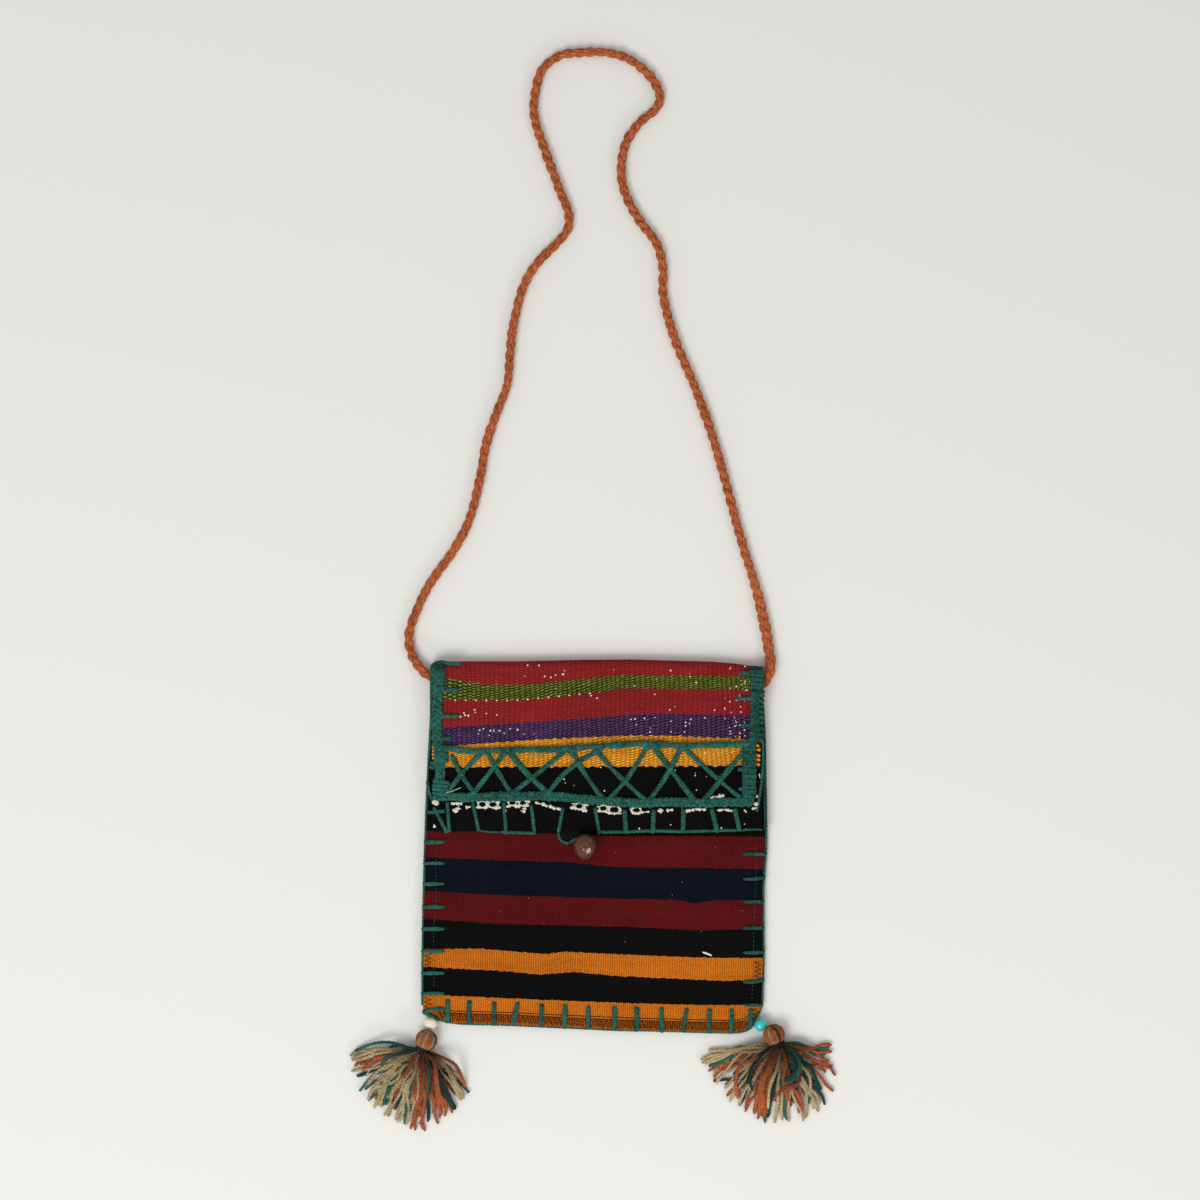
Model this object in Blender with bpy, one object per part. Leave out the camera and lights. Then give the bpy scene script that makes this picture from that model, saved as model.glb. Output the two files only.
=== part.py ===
"""A small woven shoulder bag lying on its back: a flat pouch of striped kilim cloth, closed by a
flap with a ball button and a yarn loop, carried on a twisted wool cord, with a bead and a tassel
at each lower corner. Metres, +Z up. +X is across the bag and +Y runs from its bottom seam to the
fold of its flap. The origin is on the surface that it lies on, under the middle of the pouch.
"""

import math
from collections import namedtuple

import bmesh
import bpy
from mathutils import Vector

# The pouch
POUCH_WIDTH = 0.236
POUCH_LENGTH = 0.254
CLOTH = 0.0022  # thickness of the kilim
GAP = 0.0003  # between pieces that touch
LAYER_GAP = 0.0004  # between cloths that lie on each other
CROWN = 0.0062  # clear room between the two panels, in the middle
SIDE_POWER = 5.0  # how late the crown falls off towards the side seams
END_POWER = 6.0  # and towards the bottom seam

# The flap
MOUTH_DROP = 0.030  # from the fold to the pouch's mouth
RISE_START = 0.0015  # past the mouth, where the flap leaves the front panel
RISE_RUN = 0.0095  # and how far it takes to reach the height of the fold
BRAID_WIDTH = 0.0088
BRAID_HEIGHT = 0.0024
LOWER_BRAID_WIDTH = 0.0066
UPPER_LINE_WIDTH = 0.0038
UPPER_LINE_HEIGHT = 0.0020
BRAID_EDGE = 0.30  # height of a braid's edges, as a share of its own height
BED_DEPTH = 0.010  # of the block that cuts the braids' undersides, more than any braid is high

# The strap
STRAP_DIAMETER = 0.0060

# The closure
BALL_WIDTH = 0.0157
BALL_LENGTH = 0.0176
BALL_HEIGHT = 0.0160
BALL_TAPER = 0.16  # how much narrower its lower end is than its upper one
BALL_ACROSS = 0.469  # its place across the pouch, as a share from the left seam
BALL_BELOW_FLAP = 0.0101  # from the flap's edge down to the ball's middle
SHANK_RADIUS = 0.0015
LOOP_YARN = 0.0024

# The tassels
BEAD_BORE = 0.0022
THREAD = 0.0015
THREAD_SHOWS = 0.0004  # before the bead, at the bag's corner
HEAD_WIDTH = 0.0152
HEAD_LENGTH = 0.0144
HEAD_HEIGHT = 0.0146
NECK_RADIUS = 0.0042
NECK_SWELL = 1.25  # how far the tie stands out past the neck
LOCK_RADIUS = 0.0030
LOCK_SPREAD = 1.5  # how much wider than high a lock is
LOCK_ROOT = 0.62  # radius of a lock at the tie, as a share of LOCK_RADIUS
TASSEL_REACH = 0.0560  # from the neck to the tip of the longest lock

# Grid sizes of the cloths
COLUMNS = 24
BACK_ROWS = 10
FOLD_ROWS = 8
BEND_ROWS = 3
FLAP_BEND = 0.30  # share of the flap, next to the fold, that has rows of its own
FLAP_ROWS = 12
FRONT_ROWS = 15

# The side edges, from the bottom seam (share 0) to the fold (share 1), in shares of POUCH_WIDTH
SideRow = namedtuple("SideRow", "along left right")
POUCH_SIDES = [
    SideRow(along=0.00, left=-0.503, right=0.492),
    SideRow(along=0.14, left=-0.503, right=0.497),
    SideRow(along=0.35, left=-0.499, right=0.496),
    SideRow(along=0.48, left=-0.495, right=0.505),
    SideRow(along=0.62, left=-0.490, right=0.504),
    SideRow(along=0.80, left=-0.481, right=0.499),
    SideRow(along=1.00, left=-0.475, right=0.495),
]
# The flap's side edges, from the fold (share 0) to its lower edge (share 1)
FLAP_SIDES = [
    SideRow(along=0.00, left=-0.475, right=0.495),
    SideRow(along=0.50, left=-0.475, right=0.494),
    SideRow(along=1.00, left=-0.477, right=0.495),
]
# The lower and upper edges, from the left seam (share 0) to the right seam (share 1), as shares of
# POUCH_LENGTH from the pouch's middle. The steps at both ends are the cut corners.
EndRow = namedtuple("EndRow", "across bottom top flap_edge")
POUCH_ENDS = [
    EndRow(across=0.000, bottom=-0.450, top=0.490, flap_edge=0.045),
    EndRow(across=0.042, bottom=-0.467, top=0.499, flap_edge=0.040),
    EndRow(across=0.083, bottom=-0.481, top=0.500, flap_edge=0.040),
    EndRow(across=0.250, bottom=-0.485, top=0.500, flap_edge=0.042),
    EndRow(across=0.450, bottom=-0.494, top=0.504, flap_edge=0.040),
    EndRow(across=0.600, bottom=-0.500, top=0.505, flap_edge=0.036),
    EndRow(across=0.850, bottom=-0.506, top=0.499, flap_edge=0.043),
    EndRow(across=0.917, bottom=-0.507, top=0.494, flap_edge=0.044),
    EndRow(across=0.958, bottom=-0.499, top=0.489, flap_edge=0.044),
    EndRow(across=1.000, bottom=-0.440, top=0.478, flap_edge=0.048),
]

# The strap's own line as it lies, from the left corner round to the right one, chosen by hand
STRAP_ROUTE = [
    (-0.1035, 0.1148, 0.00550),
    (-0.1085, 0.1154, 0.00550),
    (-0.1133, 0.1168, 0.00550),
    (-0.1172, 0.1194, 0.00550),
    (-0.1209, 0.1235, 0.00470),
    (-0.1241, 0.1284, 0.00370),
    (-0.1265, 0.1345, 0.00305),
    (-0.1278, 0.1420, 0.00305),
    (-0.1266, 0.1495, 0.00305),
    (-0.1226, 0.1610, 0.00305),
    (-0.1130, 0.1805, 0.00305),
    (-0.0970, 0.2030, 0.00305),
    (-0.0860, 0.2245, 0.00305),
    (-0.0790, 0.2510, 0.00305),
    (-0.0745, 0.2760, 0.00305),
    (-0.0675, 0.2970, 0.00305),
    (-0.0600, 0.3170, 0.00305),
    (-0.0580, 0.3380, 0.00305),
    (-0.0555, 0.3590, 0.00305),
    (-0.0487, 0.3850, 0.00305),
    (-0.0385, 0.4020, 0.00305),
    (-0.0255, 0.4150, 0.00305),
    (-0.0178, 0.4255, 0.00305),
    (-0.0180, 0.4372, 0.00305),
    (-0.0243, 0.4530, 0.00305),
    (-0.0345, 0.4810, 0.00305),
    (-0.0410, 0.5010, 0.00305),
    (-0.0408, 0.5170, 0.00305),
    (-0.0360, 0.5340, 0.00305),
    (-0.0240, 0.5440, 0.00305),
    (-0.0085, 0.5463, 0.00305),
    (0.0095, 0.5462, 0.00305),
    (0.0255, 0.5410, 0.00305),
    (0.0395, 0.5290, 0.00305),
    (0.0455, 0.5165, 0.00305),
    (0.0420, 0.5070, 0.00305),
    (0.0310, 0.4975, 0.00305),
    (0.0220, 0.4840, 0.00305),
    (0.0188, 0.4680, 0.00305),
    (0.0210, 0.4505, 0.00305),
    (0.0310, 0.4310, 0.00305),
    (0.0430, 0.4150, 0.00305),
    (0.0475, 0.3980, 0.00305),
    (0.0478, 0.3780, 0.00305),
    (0.0560, 0.3480, 0.00305),
    (0.0690, 0.3170, 0.00305),
    (0.0810, 0.2840, 0.00305),
    (0.0905, 0.2510, 0.00305),
    (0.1010, 0.2120, 0.00305),
    (0.1120, 0.1760, 0.00305),
    (0.1185, 0.1470, 0.00305),
    (0.1212, 0.1300, 0.00350),
    (0.1213, 0.1240, 0.00450),
    (0.1203, 0.1180, 0.00550),
    (0.1170, 0.1126, 0.00550),
    (0.1122, 0.1100, 0.00550),
    (0.1060, 0.1090, 0.00550),
]
STRAP_STEP = 2.2  # distance between the points of its tube, in diameters
STRAP_TUBE_TURNS = 2  # bevel resolution, for an eight-sided tube

# The loop's line, as places beside the ball's middle, in shares of the ball's width
LOOP_ROUTE = [
    (-1.159, 0.640),
    (-1.080, 0.390),
    (-0.830, 0.215),
    (-0.540, 0.300),
    (-0.330, 0.200),
    (-0.255, 0.010),
    (-0.160, -0.165),
    (0.070, -0.215),
    (0.235, -0.060),
    (0.290, 0.200),
    (0.400, 0.430),
    (0.484, 0.590),
]

# Braids and the yarn line on the flap, as shares of the pouch's width and length
LEFT_BRAID = [(-0.453, 0.470), (-0.455, 0.380), (-0.456, 0.270), (-0.452, 0.190), (-0.448, 0.136)]
RIGHT_BRAID = [(0.470, 0.455), (0.471, 0.370), (0.469, 0.280), (0.452, 0.200), (0.447, 0.110)]
LOWER_BRAID = [
    (-0.424, 0.130),
    (-0.330, 0.135),
    (-0.180, 0.134),
    (-0.050, 0.124),
    (0.080, 0.117),
    (0.220, 0.112),
    (0.320, 0.116),
    (0.422, 0.116),
]
UPPER_LINE = [
    (-0.428, 0.250),
    (-0.300, 0.262),
    (-0.120, 0.269),
    (0.060, 0.267),
    (0.220, 0.275),
    (0.330, 0.277),
    (0.424, 0.271),
]
RIBBON_STEP = 0.0085  # distance between the cross-sections of a braid
RIBBON_ARC = 3  # points across the rounded top of a braid, between its two edges

# A tassel's locks: bearing in degrees, turned from +X, and length as a share of TASSEL_REACH
Lock = namedtuple("Lock", "bearing reach")
LEFT_LOCKS = [
    Lock(bearing=178, reach=0.84),
    Lock(bearing=193, reach=0.82),
    Lock(bearing=207, reach=0.84),
    Lock(bearing=221, reach=0.86),
    Lock(bearing=235, reach=0.92),
    Lock(bearing=249, reach=0.97),
    Lock(bearing=262, reach=1.00),
    Lock(bearing=275, reach=1.00),
    Lock(bearing=288, reach=0.92),
    Lock(bearing=303, reach=0.80),
    Lock(bearing=319, reach=0.72),
]
RIGHT_LOCKS = [
    Lock(bearing=187, reach=0.90),
    Lock(bearing=201, reach=0.88),
    Lock(bearing=216, reach=0.84),
    Lock(bearing=231, reach=0.86),
    Lock(bearing=246, reach=0.92),
    Lock(bearing=260, reach=0.95),
    Lock(bearing=274, reach=0.95),
    Lock(bearing=289, reach=0.93),
    Lock(bearing=305, reach=0.86),
    Lock(bearing=323, reach=0.76),
    Lock(bearing=341, reach=0.72),
    Lock(bearing=357, reach=0.70),
]
LOCK_SIDES = 6
LOCK_SECTIONS = [0.0, 0.30, 0.65, 1.0]  # shares of its length at which a lock has a cross-section

# How each corner's bead and tassel sit: the bead's radius and length, how far its middle is from
# the cut corner's, and the bearings in degrees from the corner to the bead, from the bead to the
# head and from the head to the neck
Corner = namedtuple(
    "Corner", "bead_radius bead_length bead_apart bead_bearing head_bearing neck_bearing"
)
LEFT_CORNER = Corner(
    bead_radius=0.0046,
    bead_length=0.0072,
    bead_apart=0.0060,
    bead_bearing=282,
    head_bearing=258,
    neck_bearing=247,
)
RIGHT_CORNER = Corner(
    bead_radius=0.0047,
    bead_length=0.0080,
    bead_apart=0.0056,
    bead_bearing=311,
    head_bearing=325,
    neck_bearing=300,
)
BEAD_SIDES = 14
BEAD_RIM = 0.86  # where the bore's rims lie, as a share of half the bead's length
BEAD_CURVE = 0.80  # share of a half circle that a bead's outer profile turns through
NECK_ALONG = 0.52  # from the head's middle to the neck, as a share of the head's length
NECK_UP = 0.45  # height of the neck's middle, as a share of the head's height

# What is worked out from the sizes above
FOLD_ROOM = STRAP_DIAMETER + 2 * GAP
FOLD_HEIGHT = FOLD_ROOM + 2 * CLOTH
FOLD_RADIUS = FOLD_HEIGHT / 2
SEAM_TOP = 2 * CLOTH + LAYER_GAP

CLOTH_RED = (0.22, 0.018, 0.022)
CLOTH_DARK = (0.085, 0.012, 0.016)
YARN_GREEN = (0.020, 0.095, 0.070)
YARN_RUST = (0.33, 0.090, 0.030)
YARN_BEIGE = (0.32, 0.25, 0.145)
BALL_BROWN = (0.085, 0.042, 0.032)
BEAD_WHITE = (0.72, 0.67, 0.58)
BEAD_TURQUOISE = (0.03, 0.55, 0.50)


def clear_scene():
    for old in list(bpy.data.objects):
        bpy.data.objects.remove(old)


def material(name, colour, roughness):
    """One finish: a Principled BSDF with its colour and roughness."""
    made = bpy.data.materials.new(name)
    made.use_nodes = True
    shader = made.node_tree.nodes["Principled BSDF"]
    shader.inputs["Base Color"].default_value = (*colour, 1.0)
    shader.inputs["Roughness"].default_value = roughness
    shader.inputs["Metallic"].default_value = 0.0
    return made


def add_object(name, mesh_or_curve, finish):
    mesh_or_curve.materials.append(finish)
    made = bpy.data.objects.new(name, mesh_or_curve)
    bpy.context.scene.collection.objects.link(made)
    return made


def object_from(name, shape, finish):
    """The bmesh as an object whose faces point outwards, shaded smooth."""
    bmesh.ops.recalc_face_normals(shape, faces=shape.faces[:])
    mesh = bpy.data.meshes.new(name)
    shape.to_mesh(mesh)
    shape.free()
    mesh.shade_smooth()
    return add_object(name, mesh, finish)


def mix(a, b, share):
    return a + (b - a) * share


def smooth_step(share):
    share = min(1.0, max(0.0, share))
    return share * share * (3 - 2 * share)


def from_table(rows, key, column, at):
    """The column's value at a place along the table's key, straight between its rows."""
    for low, high in zip(rows, rows[1:]):
        start, end = getattr(low, key), getattr(high, key)
        if at <= end:
            share = max(0.0, (at - start) / (end - start))
            return mix(getattr(low, column), getattr(high, column), share)
    return getattr(rows[-1], column)


def smooth_line(points, step):
    """Points about step apart on one smooth curve through the given points."""
    ends = [2 * points[0] - points[1], *points, 2 * points[-1] - points[-2]]
    found = [points[0]]
    for before, start, end, after in zip(ends, ends[1:], ends[2:], ends[3:]):
        pieces = 8
        for i in range(1, pieces + 1):
            t = i / pieces
            found.append(
                0.5 * (2 * start + (end - before) * t)
                + 0.5 * (2 * before - 5 * start + 4 * end - after) * t**2
                + 0.5 * (3 * start - before - 3 * end + after) * t**3
            )
    lengths = [0.0]
    for a, b in zip(found, found[1:]):
        lengths.append(lengths[-1] + (b - a).length)
    count = max(2, round(lengths[-1] / step))
    spaced, k = [], 0
    for i in range(count + 1):
        target = lengths[-1] * i / count
        while k < len(found) - 2 and lengths[k + 1] < target:
            k += 1
        share = (target - lengths[k]) / max(lengths[k + 1] - lengths[k], 1e-9)
        spaced.append(found[k].lerp(found[k + 1], min(1.0, share)))
    return spaced


def side_x(rows, along, across):
    left = from_table(rows, "along", "left", along)
    right = from_table(rows, "along", "right", along)
    return POUCH_WIDTH * mix(left, right, across)


def end_y(column, across):
    return POUCH_LENGTH * from_table(POUCH_ENDS, "across", column, across)


def mouth_y(across):
    return end_y("top", across) - MOUTH_DROP


def pouch_share(across, y):
    """How far y lies from the bottom seam (0) to the fold (1)."""
    bottom, top = end_y("bottom", across), end_y("top", across)
    return (y - bottom) / (top - bottom)


def front_place(across, along):
    """A point of the front panel's outer face: along runs from the bottom seam to the mouth."""
    y = mix(end_y("bottom", across), mouth_y(across), along)
    x = side_x(POUCH_SIDES, pouch_share(across, y), across)
    side = 1 - abs(2 * across - 1) ** SIDE_POWER
    end = 1 - (1 - along) ** END_POWER
    return Vector((x, y, SEAM_TOP + CROWN * side * end))


def across_at(x, y):
    """The share across the pouch at a place in plan."""
    across = 0.5
    for _ in range(4):
        along = min(1.0, max(0.0, pouch_share(across, y)))
        left, right = side_x(POUCH_SIDES, along, 0.0), side_x(POUCH_SIDES, along, 1.0)
        across = min(1.0, max(0.0, (x - left) / (right - left)))
    return across


def front_top(x, y):
    """Height of the front panel's outer face at a place in plan."""
    across = across_at(x, y)
    bottom, mouth = end_y("bottom", across), mouth_y(across)
    along = min(1.0, max(0.0, (y - bottom) / (mouth - bottom)))
    return front_place(across, along).z


def flap_top(x, y):
    """Height of the flap's outer face: on the front panel, up or down to the fold, then round."""
    across = across_at(x, y)
    past_fold = y - (end_y("top", across) - FOLD_RADIUS)
    if past_fold > 0:
        drop = 1 - math.sqrt(max(0.0, 1 - (past_fold / FOLD_RADIUS) ** 2))
        return FOLD_HEIGHT - FOLD_RADIUS * drop
    riding = front_top(x, y) + LAYER_GAP + CLOTH
    past_mouth = y - mouth_y(across) - RISE_START
    return mix(riding, FOLD_HEIGHT, smooth_step(past_mouth / RISE_RUN))


def grid_triangles(rows, columns):
    """Triangles that skin a grid of points, with the same diagonal in every cell."""
    found = []
    for r in range(rows - 1):
        for c in range(columns - 1):
            a = r * columns + c
            b, d, e = a + 1, a + columns, a + columns + 1
            found += [(a, b, e), (a, e, d)]
    return found


def cloth_object(name, grid, finish):
    """A cloth from rows of points on its outer face, thickened inwards by a Solidify modifier."""
    mesh = bpy.data.meshes.new(name)
    points = [point for row in grid for point in row]
    mesh.from_pydata(points, [], grid_triangles(len(grid), len(grid[0])))
    mesh.shade_smooth()
    made = add_object(name, mesh, finish)
    wall = made.modifiers.new("wall", "SOLIDIFY")
    wall.thickness = CLOTH
    wall.offset = -1.0
    wall.use_even_offset = True
    return made


def front_panel(finish):
    """The front of the pouch: sewn along three sides, open at the mouth, slightly crowned."""
    shares = [c / COLUMNS for c in range(COLUMNS + 1)]
    rows = [r / FRONT_ROWS for r in range(FRONT_ROWS + 1)]
    grid = [[front_place(across, along) for across in shares] for along in rows]
    return cloth_object("front_panel", grid, finish)


def back_rows(shares):
    """The outer face of the back, on the surface, from the bottom seam to the fold."""
    rows = []
    for r in range(BACK_ROWS + 1):
        row = []
        for across in shares:
            bottom, top = end_y("bottom", across), end_y("top", across)
            y = mix(bottom, top - FOLD_RADIUS, r / BACK_ROWS)
            row.append(Vector((side_x(POUCH_SIDES, pouch_share(across, y), across), y, 0.0)))
        rows.append(row)
    return rows


def fold_rows(shares):
    """The half round of the fold, between the back and the flap."""
    rows = []
    for r in range(1, FOLD_ROWS):
        angle = math.pi * (r / FOLD_ROWS - 0.5)
        row = []
        for across in shares:
            y = end_y("top", across) - FOLD_RADIUS + FOLD_RADIUS * math.cos(angle)
            height = FOLD_RADIUS * (1 + math.sin(angle))
            row.append(Vector((side_x(FLAP_SIDES, 0.0, across), y, height)))
        rows.append(row)
    return rows


def flap_rows(shares):
    """The outer face of the flap, from the fold over the mouth to its lower edge."""
    rows = []
    reaches = [FLAP_BEND * r / BEND_ROWS for r in range(BEND_ROWS)]
    reaches += [mix(FLAP_BEND, 1.0, r / FLAP_ROWS) for r in range(FLAP_ROWS + 1)]
    for reach in reaches:
        row = []
        for across in shares:
            fold, lower = end_y("top", across) - FOLD_RADIUS, end_y("flap_edge", across)
            y = mix(fold, lower, reach)
            x = side_x(FLAP_SIDES, reach, across)
            row.append(Vector((x, y, flap_top(x, y))))
        rows.append(row)
    return rows


def back_and_flap(finish):
    """One cloth: the back lies flat, turns over at the fold and comes down over the front."""
    shares = [c / COLUMNS for c in range(COLUMNS + 1)]
    rows = back_rows(shares) + fold_rows(shares) + flap_rows(shares)
    return cloth_object("back_and_flap", [row[::-1] for row in rows], finish)


def tube_object(name, points, diameter, turns, finish):
    """A yarn or cord: a curve with a round bevel and filled ends."""
    curve = bpy.data.curves.new(name, "CURVE")
    curve.dimensions = "3D"
    curve.bevel_depth = diameter / 2
    curve.bevel_resolution = turns
    curve.use_fill_caps = True
    spline = curve.splines.new("POLY")
    spline.points.add(len(points) - 1)
    for target, point in zip(spline.points, points):
        target.co = (*point, 1.0)
    return add_object(name, curve, finish)


def strap_cord(finish):
    route = [Vector(point) for point in STRAP_ROUTE]
    line = smooth_line(route, STRAP_STEP * STRAP_DIAMETER)
    return tube_object("strap_cord", line, STRAP_DIAMETER, STRAP_TUBE_TURNS, finish)


def braid_on_flap(name, shares, width, height, bed, finish):
    """A band of yarn with a rounded top, its underside cut to the shape of the flap under it."""
    route = [Vector((POUCH_WIDTH * x, POUCH_LENGTH * y, 0.0)) for x, y in shares]
    line = smooth_line(route, RIBBON_STEP)
    shape = bmesh.new()
    sections = []
    for i, point in enumerate(line):
        forward = line[min(i + 1, len(line) - 1)] - line[max(i - 1, 0)]
        sideways = Vector((-forward.y, forward.x, 0.0)).normalized()
        ring = []
        for side in (-1, 1):
            place = point + sideways * side * width / 2
            seat = flap_top(place.x, place.y) - CLOTH / 2
            ring.append(shape.verts.new((place.x, place.y, seat)))
        for j in range(RIBBON_ARC + 2):
            angle = math.pi * j / (RIBBON_ARC + 1)
            place = point + sideways * math.cos(angle) * width / 2
            arch = mix(BRAID_EDGE, 1.0, math.sin(angle))
            seat = flap_top(place.x, place.y) + GAP + height * arch
            ring.append(shape.verts.new((place.x, place.y, seat)))
        sections.append(ring)
    bridge_rings(shape, sections)
    made = object_from(name, shape, finish)
    boolean(made, bed, "DIFFERENCE")
    return made


def boolean(target, tool, operation):
    """Applies one Boolean of the tool to the target."""
    change = target.modifiers.new("change", "BOOLEAN")
    change.operation = operation
    change.solver = "EXACT"
    change.object = tool
    with bpy.context.temp_override(object=target, active_object=target):
        bpy.ops.object.modifier_apply(modifier=change.name)


def braid_bed():
    """A block under the flap's outer face, raised by the gap, to cut the braids with."""
    shares = [c / COLUMNS for c in range(COLUMNS + 1)]
    rows = fold_rows(shares)[FOLD_ROWS // 2 - 1 :] + flap_rows(shares)
    rows = [row[::-1] for row in rows]
    shape = bmesh.new()
    tops = [shape.verts.new(point + Vector((0, 0, GAP))) for row in rows for point in row]
    for corners in grid_triangles(len(rows), len(rows[0])):
        shape.faces.new([tops[i] for i in corners])
    made = bmesh.ops.extrude_face_region(shape, geom=shape.faces[:])
    for vert in made["geom"]:
        if isinstance(vert, bmesh.types.BMVert):
            vert.co.z -= BED_DEPTH
    return object_from("braid_bed", shape, bpy.data.materials[0])


def bridge_rings(shape, sections):
    """Skins a row of closed rings of the same length and closes both ends."""
    for first, second in zip(sections, sections[1:]):
        for i in range(len(first)):
            j = (i + 1) % len(first)
            shape.faces.new((first[i], first[j], second[j], second[i]))
    shape.faces.new(sections[0][::-1])
    shape.faces.new(sections[-1])


def ball_place():
    """The spot on the front panel under the ball, below the flap's edge."""
    y = end_y("flap_edge", BALL_ACROSS) - BALL_BELOW_FLAP
    x = side_x(POUCH_SIDES, pouch_share(BALL_ACROSS, y), BALL_ACROSS)
    return Vector((x, y, front_top(x, y)))


def shank_height():
    """Room under the ball for the loop that is hooked round the shank."""
    return LOOP_YARN + 2 * GAP


def button_ball(finish):
    """A carved ball, a little longer than it is wide and narrower at its lower end."""
    shape = bmesh.new()
    bmesh.ops.create_uvsphere(shape, u_segments=16, v_segments=10, radius=0.5)
    for vert in shape.verts:
        taper = 1 + BALL_TAPER * vert.co.y
        vert.co = Vector(
            (vert.co.x * taper * BALL_WIDTH, vert.co.y * BALL_LENGTH, vert.co.z * BALL_HEIGHT)
        )
    made = object_from("button_ball", shape, finish)
    lift = GAP + shank_height() + BALL_HEIGHT / 2
    made.location = ball_place() + Vector((0.0, 0.0, lift))
    return made


def button_shank(finish):
    """The wound thread that holds the ball off the front panel."""
    shape = bmesh.new()
    height = shank_height() - GAP
    bmesh.ops.create_cone(
        shape, cap_ends=True, segments=12, radius1=SHANK_RADIUS, radius2=SHANK_RADIUS, depth=height
    )
    made = object_from("button_shank", shape, finish)
    made.location = ball_place() + Vector((0.0, 0.0, GAP + height / 2))
    return made


def button_loop(finish):
    """The yarn loop from the flap's edge, laid round the shank under the ball."""
    centre = ball_place()
    route = []
    for x, y in LOOP_ROUTE:
        place = Vector((centre.x + x * BALL_WIDTH, centre.y + y * BALL_WIDTH, 0.0))
        place.z = front_top(place.x, place.y) + GAP + LOOP_YARN / 2
        route.append(place)
    return tube_object("button_loop", smooth_line(route, 0.9 * LOOP_YARN), LOOP_YARN, 2, finish)


def corner_point(side):
    """The middle of the cut corner, at the height of the seam."""
    across = 0.0 if side == "left" else 1.0
    inner = POUCH_ENDS[1].across if side == "left" else POUCH_ENDS[-2].across
    outer_y, inner_y = end_y("bottom", across), end_y("bottom", inner)
    outer = Vector((side_x(POUCH_SIDES, 0.0, across), outer_y, SEAM_TOP / 2))
    inner = Vector((side_x(POUCH_SIDES, 0.0, inner), inner_y, SEAM_TOP / 2))
    return (outer + inner) / 2


def heading(degrees):
    return Vector((math.cos(math.radians(degrees)), math.sin(math.radians(degrees)), 0.0))


def corner_places(side, corner):
    """Middles of the bead, the tassel's head and its neck, each resting on the surface."""
    start = corner_point(side)
    bead = start + heading(corner.bead_bearing) * corner.bead_apart
    bead.z = corner.bead_radius + GAP
    apart = corner.bead_length / 2 + HEAD_LENGTH / 2 + GAP
    head = bead + heading(corner.head_bearing) * apart
    head.z = HEAD_HEIGHT / 2
    neck = head + heading(corner.neck_bearing) * HEAD_LENGTH * NECK_ALONG
    neck.z = HEAD_HEIGHT * NECK_UP
    return start, bead, head, neck


def tassel_bead(side, corner, finish):
    """A drilled bead, turned from its profile, with its bore along the thread."""
    _, bead, head, _ = corner_places(side, corner)
    bore = BEAD_BORE / 2
    rim = corner.bead_length / 2 * BEAD_RIM
    shape = bmesh.new()
    profile = [Vector((bore, 0.0, -rim)), Vector((bore, 0.0, rim))]
    steps = 6
    widest_angle = math.pi / 2 * BEAD_CURVE
    for i in range(steps + 1):
        angle = widest_angle * (1 - 2 * i / steps)
        round_x = bore + (corner.bead_radius - bore) * math.cos(angle)
        round_z = corner.bead_length / 2 * math.sin(angle) / math.sin(widest_angle)
        profile.append(Vector((round_x, 0.0, round_z)))
    verts = [shape.verts.new(point) for point in profile]
    edges = [shape.edges.new((a, b)) for a, b in zip(verts, verts[1:] + verts[:1])]
    bmesh.ops.spin(
        shape,
        geom=verts + edges,
        cent=(0, 0, 0),
        axis=(0, 0, 1),
        angle=2 * math.pi,
        steps=BEAD_SIDES,
        use_merge=True,
    )
    bmesh.ops.remove_doubles(shape, verts=shape.verts[:], dist=1e-6)
    made = object_from(f"tassel_{side}_bead", shape, finish)
    made.rotation_mode = "QUATERNION"
    made.rotation_quaternion = (head - bead).to_track_quat("Z", "Y")
    made.location = bead
    return made


def tassel_thread(side, corner, finish):
    """The thread from the bag's corner through the bead to the tassel's head."""
    _, bead, head, _ = corner_places(side, corner)
    run = (head - bead).normalized()
    first = bead - run * (corner.bead_length / 2 + THREAD_SHOWS)
    last = head - run * (HEAD_LENGTH / 2 + GAP)
    return tube_object(f"tassel_{side}_thread", [first, last], THREAD, 1, finish)


def lock_object(name, start, lock, finish):
    """One lock of yarn: a tapered prism that falls from the neck to the surface."""
    out = heading(lock.bearing)
    length = lock.reach * TASSEL_REACH
    shape = bmesh.new()
    sections = []
    for share in LOCK_SECTIONS:
        height = mix(start.z, LOCK_RADIUS, smooth_step(share))
        radius = LOCK_RADIUS * mix(LOCK_ROOT, 1.0, math.sin(math.pi * min(share, LOCK_ROOT)))
        centre = start + out * length * share
        centre.z = max(height, radius + GAP)
        sideways = Vector((-out.y, out.x, 0.0))
        ring = []
        for i in range(LOCK_SIDES):
            angle = 2 * math.pi * (i + 0.5) / LOCK_SIDES
            offset = sideways * math.cos(angle) * LOCK_SPREAD + Vector((0, 0, math.sin(angle)))
            ring.append(shape.verts.new(centre + offset * radius))
        sections.append(ring)
    bridge_rings(shape, sections)
    return object_from(name, shape, finish)


def join_by_union(base, tools):
    """Fuses the tool objects into the base, then removes them."""
    for tool in tools:
        boolean(base, tool, "UNION")
        bpy.data.objects.remove(tool)


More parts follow.
